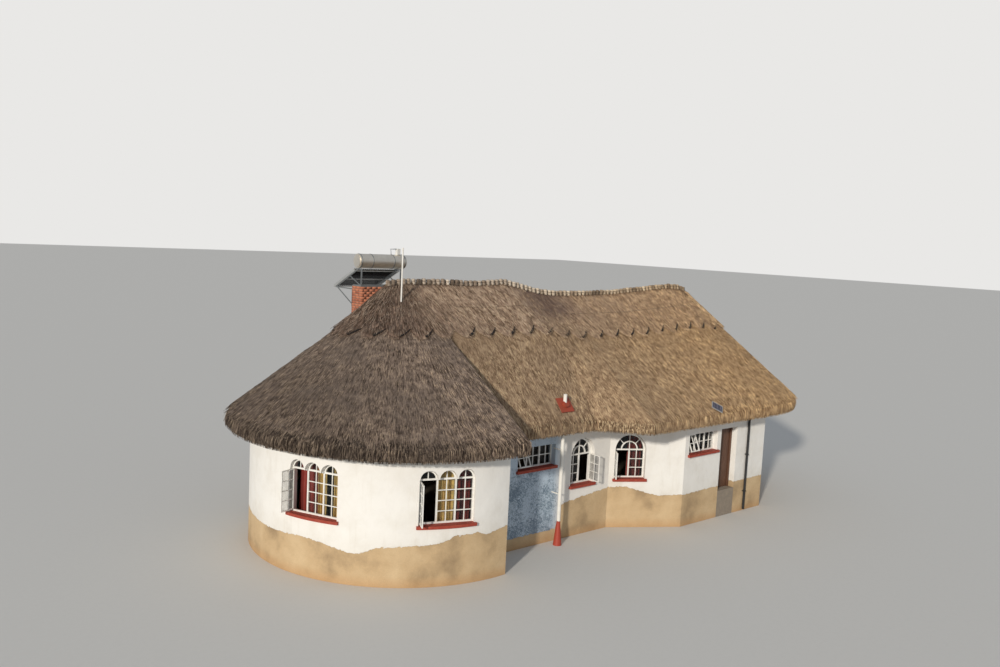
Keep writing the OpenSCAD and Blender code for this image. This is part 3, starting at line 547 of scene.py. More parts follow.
@dataclass(frozen=True)
class TwoCoats(Enamel):
    """Enamel in one colour with its foot brushed in another up to a wavy line."""

    foot_tone: str = "#a5402e"
    foot_top: float = 0.74

    def paint(self, tree: bpy.types.NodeTree, shader: bpy.types.Node) -> None:
        """Lays the foot's colour over the coat.

        Args:
            tree: the material's nodes.
            shader: the shader that they feed.
        """
        super().paint(tree, shader)
        coords = add(tree, "TexCoord").outputs["Object"]
        z = add(tree, "SeparateXYZ", {}, {0: coords}).outputs["Z"]
        wavy = add(tree, "TexNoise", {"Scale": 9.0, "Detail": 2.0}, {"Vector": coords})
        shifted = add(tree, "Math", {"operation": "MULTIPLY_ADD", 1: 0.08}, {0: wavy, 2: z})
        line = {"From Min": self.foot_top + 0.045, "From Max": self.foot_top + 0.035}
        foot = add(tree, "MapRange", line, {"Value": shifted})
        before = shader.inputs["Base Color"].links[0].from_socket
        colour = add(tree, "Mix", {**COLOURS, 7: linear(self.foot_tone)}, {0: foot, 6: before})
        wire(shader, {}, {"Base Color": colour})


@dataclass(frozen=True)
class Metal(Finish):
    """Bare rolled or galvanised steel, or aluminium: dull, with cloudy patches and a little rust."""

    tone: str = "#b9bcbd"
    rust: float = 0.15
    rough: float = 0.42

    def paint(self, tree: bpy.types.NodeTree, shader: bpy.types.Node) -> None:
        """Clouds the metal and spots it with rust.

        Args:
            tree: the material's nodes.
            shader: the shader that they feed.
        """
        coords = add(tree, "TexCoord").outputs["Object"]
        cloud = add(tree, "TexNoise", {"Scale": 5.0, "Detail": 6.0, "Roughness": 0.65}, {"Vector": coords})
        grey = add(tree, "MapRange", {"To Min": 0.75, "To Max": 1.1}, {"Value": cloud})
        base = add(tree, "VectorMath", {"operation": "SCALE", 0: linear(self.tone)[:3]}, {3: grey})
        spots = add(tree, "TexNoise", {"Scale": 16.0, "Detail": 8.0, "Roughness": 0.75}, {"Vector": coords})
        rusty = add(
            tree, "MapRange", {"From Min": 0.58, "From Max": 0.66, "To Max": self.rust}, {"Value": spots}
        )
        colour = add(tree, "Mix", {**COLOURS, 7: linear("#7a4a2e")}, {0: rusty, 6: base})
        rough = add(
            tree, "MapRange", {"To Min": self.rough - 0.08, "To Max": self.rough + 0.14}, {"Value": cloud}
        )
        bump = add(tree, "Bump", {"Strength": 0.12, "Distance": 0.002}, {"Height": spots})
        wire(shader, {"Metallic": 0.85}, {"Base Color": colour, "Roughness": rough, "Normal": bump})


@dataclass(frozen=True)
class Pane(Finish):
    """Drawn window glass: clear and thin, so light goes straight through; dust dulls its gloss in patches."""

    tone: str = "#20282b"
    clear: float = 0.86

    def paint(self, tree: bpy.types.NodeTree, shader: bpy.types.Node) -> None:
        """Makes the glass thin, and dulls its gloss where dust lies.

        Args:
            tree: the material's nodes.
            shader: the shader that they feed.
        """
        coords = add(tree, "TexCoord").outputs["Object"]
        dust = add(tree, "TexNoise", {"Scale": 6.0, "Detail": 5.0}, {"Vector": coords})
        dull = {"From Min": 0.4, "From Max": 0.8, "To Min": 0.03, "To Max": 0.25}
        rough = add(tree, "MapRange", dull, {"Value": dust})
        film = {"From Min": 0.35, "From Max": 0.8, "To Min": 1 - self.clear, "To Max": 1.15 - self.clear}
        body = add(tree, "MapRange", film, {"Value": dust})
        wave = add(tree, "TexNoise", {"Scale": 4.0, "Detail": 1.0}, {"Vector": coords})
        bump = add(tree, "Bump", {"Strength": 0.06, "Distance": 0.004}, {"Height": wave})
        look = {"Base Color": linear(self.tone), "IOR": 1.7}
        wire(shader, look, {"Alpha": body, "Roughness": rough, "Normal": bump})


@dataclass(frozen=True)
class Cloth(Finish):
    """Woven curtain cotton: matt and faded in patches; its 1 mm threads are drawn as 4 mm ribs to show."""

    tone: str = "#cfae56"
    faded: str = "#e0c987"

    def paint(self, tree: bpy.types.NodeTree, shader: bpy.types.Node) -> None:
        """Fades the dye in patches and raises the ribs.

        Args:
            tree: the material's nodes.
            shader: the shader that they feed.
        """
        coords = add(tree, "TexCoord").outputs["Object"]
        patch = add(tree, "TexNoise", {"Scale": 4.0, "Detail": 5.0}, {"Vector": coords})
        colour = add(tree, "Mix", {**COLOURS, 6: linear(self.tone), 7: linear(self.faded)}, {0: patch})
        ribs = add(
            tree, "TexWave", {"bands_direction": "Z", "Scale": 80.0, "Distortion": 1.0}, {"Vector": coords}
        )
        bump = add(tree, "Bump", {"Strength": 0.2, "Distance": 0.001}, {"Height": ribs})
        wire(shader, {"Roughness": 0.9, "Sheen Weight": 0.25}, {"Base Color": colour, "Normal": bump})


@dataclass(frozen=True)
class Timber(Finish):
    """Hardwood, sawn and stained: long grain up the boards, dark in the pores, dulled by the weather."""

    tone: str = "#4a3023"
    light: str = "#6d4c38"
    stretch: tuple[float, float, float] = (60.0, 60.0, 3.0)

    def paint(self, tree: bpy.types.NodeTree, shader: bpy.types.Node) -> None:
        """Draws the grain along the piece.

        Args:
            tree: the material's nodes.
            shader: the shader that they feed.
        """
        coords = add(tree, "TexCoord").outputs["Object"]
        along = add(tree, "Mapping", {"Scale": self.stretch}, {"Vector": coords})
        grain = add(
            tree, "TexNoise", {"Scale": 1.0, "Detail": 6.0, "Roughness": 0.65, "Distortion": 0.6},
            {"Vector": along},
        )
        colour = add(tree, "ValToRGB", {"ramp": [(0.3, self.tone), (0.7, self.light)]}, {"Fac": grain})
        bump = add(tree, "Bump", {"Strength": 0.3, "Distance": 0.003}, {"Height": grain})
        wire(shader, {"Roughness": 0.6}, {"Base Color": colour, "Normal": bump})


@dataclass(frozen=True)
class Clay(Finish):
    """Fired clay brick or mortar: gritty, each brick burnt to its own red by the piece's tone attribute."""

    dark: str = "#93503a"
    light: str = "#c07a5c"

    def paint(self, tree: bpy.types.NodeTree, shader: bpy.types.Node) -> None:
        """Burns each brick to its own red and pits its face.

        Args:
            tree: the material's nodes.
            shader: the shader that they feed.
        """
        coords = add(tree, "TexCoord").outputs["Object"]
        tone = add(tree, "Attribute", {"attribute_name": "tone"}).outputs["Fac"]
        spots = add(tree, "TexNoise", {"Scale": 30.0, "Detail": 5.0, "Roughness": 0.7}, {"Vector": coords})
        both = add(tree, "Math", {"operation": "MULTIPLY_ADD", 1: 0.5}, {0: spots, 2: tone})
        colour = add(tree, "ValToRGB", {"ramp": [(0.2, self.dark), (1.1 / 1.5, self.light)]}, {"Fac": both})
        bump = add(tree, "Bump", {"Strength": 0.5, "Distance": 0.004}, {"Height": spots})
        wire(shader, {"Roughness": 0.93}, {"Base Color": colour, "Normal": bump})


@dataclass(frozen=True)
class Cells(Finish):
    """Solar cells under glass: near-black violet squares of 60 mm with thin pale lines between them."""

    tone: str = "#2a2333"
    line: str = "#8d8796"

    def paint(self, tree: bpy.types.NodeTree, shader: bpy.types.Node) -> None:
        """Draws the squares and the lines between them.

        Args:
            tree: the material's nodes.
            shader: the shader that they feed.
        """
        flow = add(tree, "UVMap", {"uv_map": "cells"})
        squares = {"offset": 0.0, "Scale": 1.0, "Mortar Size": 0.03, "Brick Width": 1.0, "Row Height": 1.0}
        tones = {"Color1": linear(self.tone), "Color2": linear("#332b40"), "Mortar": linear(self.line)}
        lines = add(tree, "TexBrick", squares | tones, {"Vector": flow})
        wire(shader, {"Roughness": 0.18, "Coat Weight": 0.6}, {"Base Color": lines})


WALL = LimeWash("limewashed_render")
# the recess wall: its blue-grey paint tones are painted shade; the flaking on it is real
SHADE_WALL = LimeWash(
    "peeling_limewash_in_painted_shade", paint_tone="#bccbd9", dirty_tone="#93a6b8", peel_and_painted_shade=1.0, edge=RECESS_EDGE
)
CONE_STRAW = Straw("old_thatch", "#42372f", "#817064", "#b6a28e", "#6a5f58")
CONE_STALKS = Straw("old_thatch_stalks", "#463a32", "#8b7a6c", "#d6bfa6", "#73675f", loose=True)
CAP_STRAW = Straw("cap_thatch", "#5f4c3a", "#a88e78", "#dcc3a6", "#937f6f", stain=True)
CAP_STALKS = Straw("cap_stalks", "#66523f", "#b89e86", "#f0dabd", "#a08c79", loose=True, stain=True)
RANGE_STRAW = Straw("thatch", "#5a4630", "#9e846a", "#d6bc98", "#8c7660", painted_valley_shade=True)
RANGE_STALKS = Straw("thatch_stalks", "#614b38", "#ad9276", "#efd7b1", "#99836b", loose=True, painted_valley_shade=True)
# near-black strokes at the scallops' rising ends: painted shadow of the edge as well as dark cut straw
CUT_ENDS_AND_SHADOW = Timber("cut_straw_ends_and_painted_shadow", "#0d0806", "#20160f", (30.0, 30.0, 30.0))
KNOT_STRAW = Straw("ridge_thatch", "#4e4236", "#877664", "#b3a18a", "#786a5b")
KNOT_STALKS = Straw("ridge_stalks", "#5e5146", "#a09080", "#d6c9b8", "#8d8072", loose=True)
STEEL = Enamel("white_steel_paint", "#efeee9", "#bdb6a6", 0.45, 0.4, 8.0)
SILL = Enamel("red_oxide_paint", "#9a3a29", "#b5604c", 0.5, 0.6, 20.0)
SHEET = Enamel("red_sheet_paint", "#a2452f", "#7c4a35", 0.6, 0.5, 20.0)
WHITE_PIPE = TwoCoats("white_pipe_with_red_foot", "#ece9e1", "#cbc4b4", 0.35, 0.4, 20.0)
POLE_PAINT = Enamel("white_pole", "#e9e6df", "#c3bdae", 0.4, 0.4, 10.0)
PIPE_PAINT = Enamel("grey_plastic_pipe", "#b9bcc0", "#8f9498", 0.3, 0.4, 15.0)
BLACK_PIPE = Enamel("black_plastic_pipe", "#1c1c1e", "#3a3835", 0.4, 0.5, 15.0)
BOX_PAINT = Enamel("white_moulded_box", "#e6e5e0", "#c8c6bd", 0.3, 0.4, 6.0)
SCREED = Enamel("cement_screed", "#8a7f72", "#a39683", 0.6, 0.9, 8.0)
GALVANISED = Metal("galvanised_steel", "#a5a8a8", 0.35, 0.5)
TANK_STEEL = Metal("stainless_tank", "#f2eadc", 0.03, 0.4)
ALUMINIUM = Metal("anodised_frame", "#e3e3df", 0.0, 0.4)
GLASS = Pane("drawn_glass")
DARK_GLASS = Enamel("dark_glass_tube", "#15181c", "#23282e", 0.4, 0.12, 40.0)
YELLOW_CLOTH = Cloth("yellow_curtain", "#e8c368", "#f5dc95")
RED_CLOTH = Cloth("red_curtain", "#7a2018", "#93392c")
DOOR_WOOD = Timber("stained_door_boards")
POLE_WOOD = Timber("gum_poles", "#6b5743", "#94806a", (20.0, 20.0, 20.0))
BRICK = Clay("burnt_brick")
MORTAR = Clay("cement_mortar", "#8c857a", "#b3aa9b")
CELLS = Cells("solar_cells")


# The roof's shape
class Slope(Enum):
    """The four faces of the thatch."""

    CONE_FRONT = "cone_front"
    CONE_BACK = "cone_back"
    RANGE_FRONT = "range_front"
    RANGE_BACK = "range_back"


def lerp(a: np.ndarray, b: np.ndarray, f: np.ndarray) -> np.ndarray:
    """Blends two arrays."""
    return a + (b - a) * f


STEPS = np.linspace(0.0, 1.0, 401)


@dataclass
class Roof:
    """The thatch as columns from the eave to the ridge, the same as the frame's solids, in metres."""

    eave_r: float = 5.15
    eave_top: float = 3.74
    thick: float = 0.3696
    ridge_z: float = 7.5
    ridge_x0: float = -0.9
    ridge_x1: float = 13.26
    step_x: float = 0.5
    hip_x: float = 11.885
    hip_r: float = 4.75
    cap_d: float = 1.9
    slope_l: float = 6.4
    recess: float = 3.87
    hip_step: float = 6.0
    hip_parts: int = 15
    hip_run: float = 0.36
    main_parts: tuple[int, int] = (29, 30)
    dips: tuple = (
        (-0.9, -0.075), (-0.3, -0.01), (0.9, -0.005), (2.2, -0.05), (3.0, -0.03), (3.65, 0.005),
        (4.05, -0.05), (4.76, -0.217), (5.4, -0.325), (6.0, -0.372), (6.9, -0.372), (8.8, -0.335),
        (10.6, -0.212), (12.0, -0.112), (12.65, -0.155), (13.26, -0.31),
    )
    swing: tuple[float, float] = (4.3, 5.5)
    cusp_up: float = 0.065
    lobe_deep: float = 0.055
    lobe_w: float = 0.78
    runs: dict = field(default_factory=dict)

    def __post_init__(self) -> None:
        """Measures the distance along the cap's edge in plan from the left end, on each side of the ridge."""
        for side in ((Slope.CONE_FRONT, Slope.RANGE_FRONT), (Slope.CONE_BACK, Slope.RANGE_BACK)):
            start = 0.0
            for slope in side:
                cols = self.columns(slope, STEPS)
                spot = cols[:, :2] * (1 - self.cap_f)
                spot[:, 0] += cols[:, 2] * self.cap_f
                steps = np.linalg.norm(np.diff(spot, axis=0), axis=-1)
                self.runs[slope] = start + np.concatenate([[0.0], np.cumsum(steps)])
                start = self.runs[slope][-1]

    @property
    def main_x(self) -> np.ndarray:
        """Foot x of the columns of the front, over the recess and its swing forward, to where the hip turns.

        Returns:
            One x for each column.
        """
        a, b = self.swing
        parts = (
            np.linspace(self.step_x, a, 9)[1:8], np.linspace(a, b, 6), np.linspace(b, self.hip_x, 17)[1:],
        )
        return np.concatenate([[self.step_x + 0.002], *parts])

    @property
    def cap_f(self) -> float:
        """Share of the way up where the cap's lower edge is."""
        return 1 - self.cap_d / self.eave_r

    def ridge(self, x: np.ndarray | float) -> np.ndarray:
        """Height of the ridge at x."""
        return self.ridge_z + np.interp(x, *zip(*self.dips))

    def columns(self, slope: Slope, t: np.ndarray) -> np.ndarray:
        """Columns at shares t of a face's length, from its left end.

        Args:
            slope: the face.
            t: shares from 0 to 1.

        Returns:
            For each: foot x, foot y, ridge x, share of the recess, and the distances along the eave and
            along the cap's edge.
        """
        r, top_l = self.eave_r, self.ridge_x1 - self.hip_run
        step_y = -math.sqrt(r**2 - self.step_x**2)
        recess_f = 1 - self.recess / r
        if slope is Slope.CONE_FRONT:
            turn = math.radians(180 + math.degrees(math.atan2(step_y, self.step_x)))
            a = math.pi + turn * t
            cols = [r * np.cos(a), r * np.sin(a), self.ridge_x0 * (1 - t), 0 * t, r * turn * t]
        elif slope is Slope.CONE_BACK:
            a = math.pi - math.pi / 2 * t
            cols = [r * np.cos(a), r * np.sin(a), self.ridge_x0 * (1 - t), 0 * t, -r * math.pi / 2 * t]
        elif slope is Slope.RANGE_FRONT:
            parts = self.main_parts[0]
            k = t * (parts + self.hip_parts)
            main, hip = np.minimum(k, parts), np.maximum(k - parts, 0)
            x = np.interp(main, np.arange(parts + 1), self.main_x)
            a = np.radians(hip * self.hip_step)
            f = (x - self.main_x[0]) / (self.hip_x - self.main_x[0])
            foot_y = -r + (r + step_y) * np.clip(1 - main, 0, 1)
            share = np.interp(x, self.swing, [recess_f, 0])
            top_x = 0.002 + (top_l - 0.002) * f + self.hip_run * hip / self.hip_parts
            cols = [x + self.hip_r * np.sin(a), foot_y * np.cos(a), top_x, share, x + 5.0 * a]
        else:
            parts = self.main_parts[1]
            k = t * (parts + self.hip_parts)
            main, hip = np.minimum(k, parts) / parts, np.maximum(k - parts, 0)
            a = np.radians(hip * self.hip_step)
            x = self.hip_x * main
            top_x = top_l * main + self.hip_run * hip / self.hip_parts
            cols = [x + self.hip_r * np.sin(a), r * np.cos(a), top_x, 0 * t, x + 5.0 * a]
        cols.append(np.interp(t, STEPS, self.runs[slope]) if slope in self.runs else 0 * t)
        return np.stack(cols, -1)

    def top(self, cols: np.ndarray, v: np.ndarray) -> np.ndarray:
        """Points of the upper surface.

        Args:
            cols: columns as from columns(), any shape ending in 6.
            v: how far up each point is, 0 at the eave and 1 at the ridge, of the same shape without the 6.

        Returns:
            Points, of the same shape ending in 3.
        """
        ex, ey, gx, share = (cols[..., k] for k in range(4))
        v = np.clip(v, 0, 1)
        gz = self.ridge(gx)
        foot = np.stack([ex, ey, np.full_like(ex, self.eave_top)], -1)
        peak = np.stack([gx, 0 * gx, gz], -1)
        bent = np.stack([lerp(ex, gx, share), lerp(ey, 0 * ey, share), foot[..., 2]], -1)
        knee = lerp(foot, peak, self.cap_f)
        w = v[..., None]
        low = lerp(bent, knee, w / self.cap_f)
        return np.where(w < self.cap_f, low, lerp(foot, peak, w))

    def lobe(self, cols: np.ndarray) -> np.ndarray:
        """How far up the cap's scalloped edge is at each column: round lobes that meet in cusps."""
        phase = (cols[..., 5] / self.lobe_w) % 1.0
        return self.cap_f + self.cusp_up - self.lobe_deep * np.sin(math.pi * phase**0.7)

    def rising(self, cols: np.ndarray) -> np.ndarray:
        """1 on the end of each lobe that rises to its cusp, 0 elsewhere; some lobes show it less."""
        lobe, phase = np.divmod(cols[..., 5] / self.lobe_w, 1.0)
        return (0.8 + 0.2 * np.sin(lobe * 2.4)) * np.exp(-(((phase - 0.78) / 0.16) ** 2))


ROOF = Roof()


@dataclass
class Thatch:
    """One face of the thatch: a closed coat with a round nose at the eave, and stalks combed down it."""

    slope: Slope
    node: str
    straw: Straw
    stalks: Straw
    stalk_count: int
    columns: int
    seed: int
    rows: int = 70
    stalk_mm: tuple[float, float] = (6.0, 12.0)

    def section(self) -> list[tuple[float, float]]:
        """The coat's section, as one loop that starts and ends at the ridge.

        Returns:
            For each point, its share of the way up and its drop below the upper surface.
        """
        top = [(v, 0.0) for v in np.linspace(1.0, 0.045, self.rows)]
        nose = [
            (0.03, 0.003), (0.017, 0.012), (0.007, 0.04), (0.002, 0.09), (0.0, 0.15), (0.0, 0.21),
            (0.001, 0.27), (0.004, 0.32), (0.012, 0.362),
        ]
        under = [(v, ROOF.thick) for v in np.linspace(0.035, 1.0, 14)]
        return top + nose + under + [(1.0, 0.0)]

    def build(self) -> None:
        """Builds the coat and its stalks, and hides the node that they stand for."""
        v, drop = np.array(self.section()).T
        cols = ROOF.columns(self.slope, np.linspace(0, 1, self.columns))
        run = np.concatenate([[0], np.cumsum(np.hypot(np.diff(v) * ROOF.slope_l, np.diff(drop)))])
        points = ROOF.top(np.repeat(cols[:, None], len(v), 1), np.repeat(v[None], len(cols), 0))
        points[..., 2] -= drop
        rough = lumps(points)
        # lumps of 25 mm on the upper surface, and an eave trimmed by hand that wanders by 40 mm
        inner = (v < 0.999) & (np.arange(len(v)) < len(v) - 2)
        points[..., 2] += np.where(inner & (drop < 0.1), rough, 0.0)
        nose = np.exp(-((v / 0.03) ** 2))
        outward = unit(cols[:, None, :2])
        points[..., :2] -= outward * (wander(cols)[:, None] * nose[None])[..., None]
        # the thatch is cut back to the pier's inner face
        notch = Pier.hides(points, 0.02)
        points[..., 1] = np.where(notch, Pier.y - Pier.deep - 0.02, points[..., 1])
        flow = np.stack(np.broadcast_arrays(cols[:, 4:5], run[None]), -1)
        coat = finished(closed_coat(points, flow), "thatch_coat_" + self.slope.value, self.straw, smooth=True)
        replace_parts(coat, self.node)
        self.comb()

    def comb(self) -> None:
        """Lays loose stalks evenly down the slope, and hangs others over the eave."""
        rng = np.random.default_rng(self.seed)
        t, v = rng.random(self.stalk_count * 5), rng.uniform(0.012, 0.97, self.stalk_count * 5)
        here = ROOF.top(ROOF.columns(self.slope, t), v)
        near = ROOF.top(ROOF.columns(self.slope, np.clip(t + 0.002, 0, 1)), v)
        width = np.linalg.norm(near - here, axis=-1)
        keep = np.flatnonzero(rng.random(len(t)) < width / np.quantile(width, 0.98))[: self.stalk_count]
        scatter_stalks(
            "stalks_" + self.slope.value, self.slope, t[keep], v[keep], self.stalks, rng, self.stalk_mm
        )
        brush_eave("eave_ends_" + self.slope.value, self.slope, self.stalk_count // 4, self.stalks, rng)


def wander(cols: np.ndarray) -> np.ndarray:
    """How far the hand-trimmed eave stands back from its line at each column, in metres."""
    return np.array([noise.noise(Vector((c * 1.3, 3.0, 0.0))) * 0.05 + 0.045 for c in cols[:, 4]])


def stalk_template() -> Template:
    """A three-sided stalk one unit long towards +X, thin at the far end.

    Returns:
        Its points and faces.
    """
    bm = bmesh.new()
    bmesh.ops.create_cone(bm, cap_ends=True, segments=3, radius1=0.5, radius2=0.22, depth=1.0)
    bmesh.ops.rotate(bm, matrix=Matrix.Rotation(math.radians(90), 3, "Y"), verts=bm.verts)
    bmesh.ops.translate(bm, vec=(0.5, 0, 0), verts=bm.verts)
    return as_template(bm)


def copies(
    name: str, template: Template, places: np.ndarray, tone: np.ndarray, finish: Finish
) -> bpy.types.Object:
    """Copies a template to many places as one piece with a tone for each copy.

    Args:
        name: the piece's name.
        template: points and faces.
        places: the upper three rows of one matrix for each copy.
        tone: one number from 0 to 1 for each copy.
        finish: the piece's finish.

    Returns:
        The new object.
    """
    points, faces = template
    n, m = len(places), len(points)
    at = np.einsum("nij,mj->nmi", places[:, :3, :3], points) + places[:, None, :3, 3]
    at = np.clip(at, np.array(cad_box[0]) + INSET, np.array(cad_box[1]) - INSET).reshape(-1, 3)
    mesh = bpy.data.meshes.new(name)
    sizes = np.tile([len(f) for f in faces], n)
    flat = np.array([i for f in faces for i in f])
    loops = (np.arange(n)[:, None] * m + flat[None]).ravel()
    mesh.vertices.add(n * m)
    mesh.vertices.foreach_set("co", at.astype(np.float32).ravel())
    mesh.loops.add(len(loops))
    mesh.loops.foreach_set("vertex_index", loops.astype(np.int32))
    mesh.polygons.add(len(sizes))
    mesh.polygons.foreach_set("loop_start", np.concatenate([[0], np.cumsum(sizes)[:-1]]).astype(np.int32))
    mesh.update(calc_edges=True)
    mesh.attributes.new("tone", "FLOAT", "POINT").data.foreach_set(
        "value", np.repeat(tone, m).astype(np.float32)
    )
    mesh.validate()
    return dressed(mesh, name, finish)


def lumps(points: np.ndarray) -> np.ndarray:
    """How far the hand-dressed lumps lift the thatch.

    Args:
        points: where it is asked for.

    Returns:
        Metres up for each point.
    """
    flat = points.reshape(-1, 3)
    made = [noise.noise(Vector(p) * 1.9) * 0.6 + noise.noise(Vector(p) * 7.0) * 0.4 for p in flat]
    return np.array(made).reshape(points.shape[:-1]) * LUMP_HIGH - LUMP_SINK


def lay(
    name: str, base: np.ndarray, axis: np.ndarray, normal: np.ndarray, length: np.ndarray, thick: np.ndarray,
    finish: Finish, rng: np.random.Generator,
) -> bpy.types.Object:
    """Lays one flattened stalk at each base point along its axis.

    Args:
        name: the piece's name.
        base: where each stalk starts.
        axis: unit direction in which it points.
        normal: unit direction away from the thatch.
        length: length of each stalk in metres.
        thick: thickness of each stalk in metres; it is 1.7 times as wide.
        finish: the piece's finish.
        rng: where the tones come from.

    Returns:
        The new object.
    """
    columns = (
        axis * length[:, None], np.cross(normal, axis) * (thick * 1.7)[:, None], normal * thick[:, None], base
    )
    tone = np.clip(rng.beta(1.6, 2.0, len(base)), 0, 1)
    return copies(name, stalk_template(), np.stack(columns, -1), tone, finish)


def scatter_stalks(
    name: str, slope: Slope, t: np.ndarray, v: np.ndarray, finish: Finish, rng: np.random.Generator,
    size_mm: tuple[float, float], lift: float = 0.0, lengths: tuple[float, float] = (0.09, 0.26),
) -> bpy.types.Object:
    """Lays stalks on a face of the roof, pointing down it with their lower ends a little proud.

    Args:
        name: the piece's name.
        slope: the face.
        t: share of the face's length for each stalk.
        v: share of the way up for each stalk.
        finish: the piece's finish.
        rng: where the turns, lengths and tones come from.
        size_mm: least and greatest thickness in millimetres.
        lift: height above the coat in metres; 0 lets the stalks follow its lumps.
        lengths: least and greatest length in metres.

    Returns:
        The new object.
    """
    cols = ROOF.columns(slope, t)
    here = ROOF.top(cols, v)
    clear = ~Pier.hides(here)
    t, v, cols, here = t[clear], v[clear], cols[clear], here[clear]
    n = len(t)
    before, beside = (ROOF.top(ROOF.columns(slope, np.clip(t + d, 0, 1)), v) for d in (-0.004, 0.004))
    down = here - ROOF.top(cols, np.clip(v + 0.03, 0.0, 1.0))
    flat = np.linalg.norm(down, axis=-1) < 1e-5
    down[flat] = here[flat] - ROOF.top(cols[flat], v[flat] - 0.03)
    down, across = unit(down), beside - before
    across = unit(across - down * np.sum(across * down, -1, keepdims=True))
    up = np.cross(across, down)
    up *= np.where(up[:, 2:3] < 0, -1.0, 1.0)
    turn = np.radians(rng.normal(0, 5.5, n))[:, None]
    pitch = np.radians(rng.uniform(1.0, 6.0, n))[:, None]
    along = down * np.cos(turn) + across * np.sin(turn)
    axis = along * np.cos(pitch) + up * np.sin(pitch)
    normal = up * np.cos(pitch) - along * np.sin(pitch)
    length = rng.uniform(*lengths, n)
    base = here + up * (lift - 0.003) - axis * (length * 0.3)[:, None]
    if not lift:
        base[:, 2] += lumps(here)
    return lay(name, base, axis, normal, length, rng.uniform(*size_mm, n) * 0.001, finish, rng)


def brush_eave(
    name: str, slope: Slope, count: int, finish: Finish, rng: np.random.Generator
) -> bpy.types.Object:
    """Hangs stalk ends over the trimmed face of the eave.

    Args:
        name: the piece's name.
        slope: the face of the roof.
        count: how many stalks.
        finish: the piece's finish.
        rng: where their places, lengths and tones come from.

    Returns:
        The new object.
    """
    t = rng.random(count)
    cols = ROOF.columns(slope, t)
    before, foot, beside = (
        ROOF.top(ROOF.columns(slope, np.clip(t + d, 0, 1)), 0 * t) for d in (-0.003, 0, 0.003)
    )
    along, upright = unit(beside - before), np.array([0.0, 0.0, 1.0])
    out = np.cross(along, upright)
    out *= np.where(np.sum(out[:, :2] * foot[:, :2], -1, keepdims=True) < 0, -1.0, 1.0)
    drop = rng.beta(1.0, 1.6, count) * 0.3
    lean = np.radians(rng.uniform(1, 8, count) + 16 * np.exp(-drop / 0.05))[:, None]
    sway = np.radians(rng.normal(0, 6, count))[:, None]
    axis = unit(out * np.sin(lean) - upright * np.cos(lean) * np.cos(sway) + along * np.sin(sway))
    normal = unit(out - axis * np.sum(out * axis, -1, keepdims=True))
    length = np.minimum(rng.uniform(0.1, 0.26, count), 0.37 - drop)
    base = foot - out * (wander(cols) + 0.012)[:, None] - axis * 0.02
    base[:, 2] -= drop
    return lay(name, base, axis, normal, length, rng.uniform(0.007, 0.014, count), finish, rng)


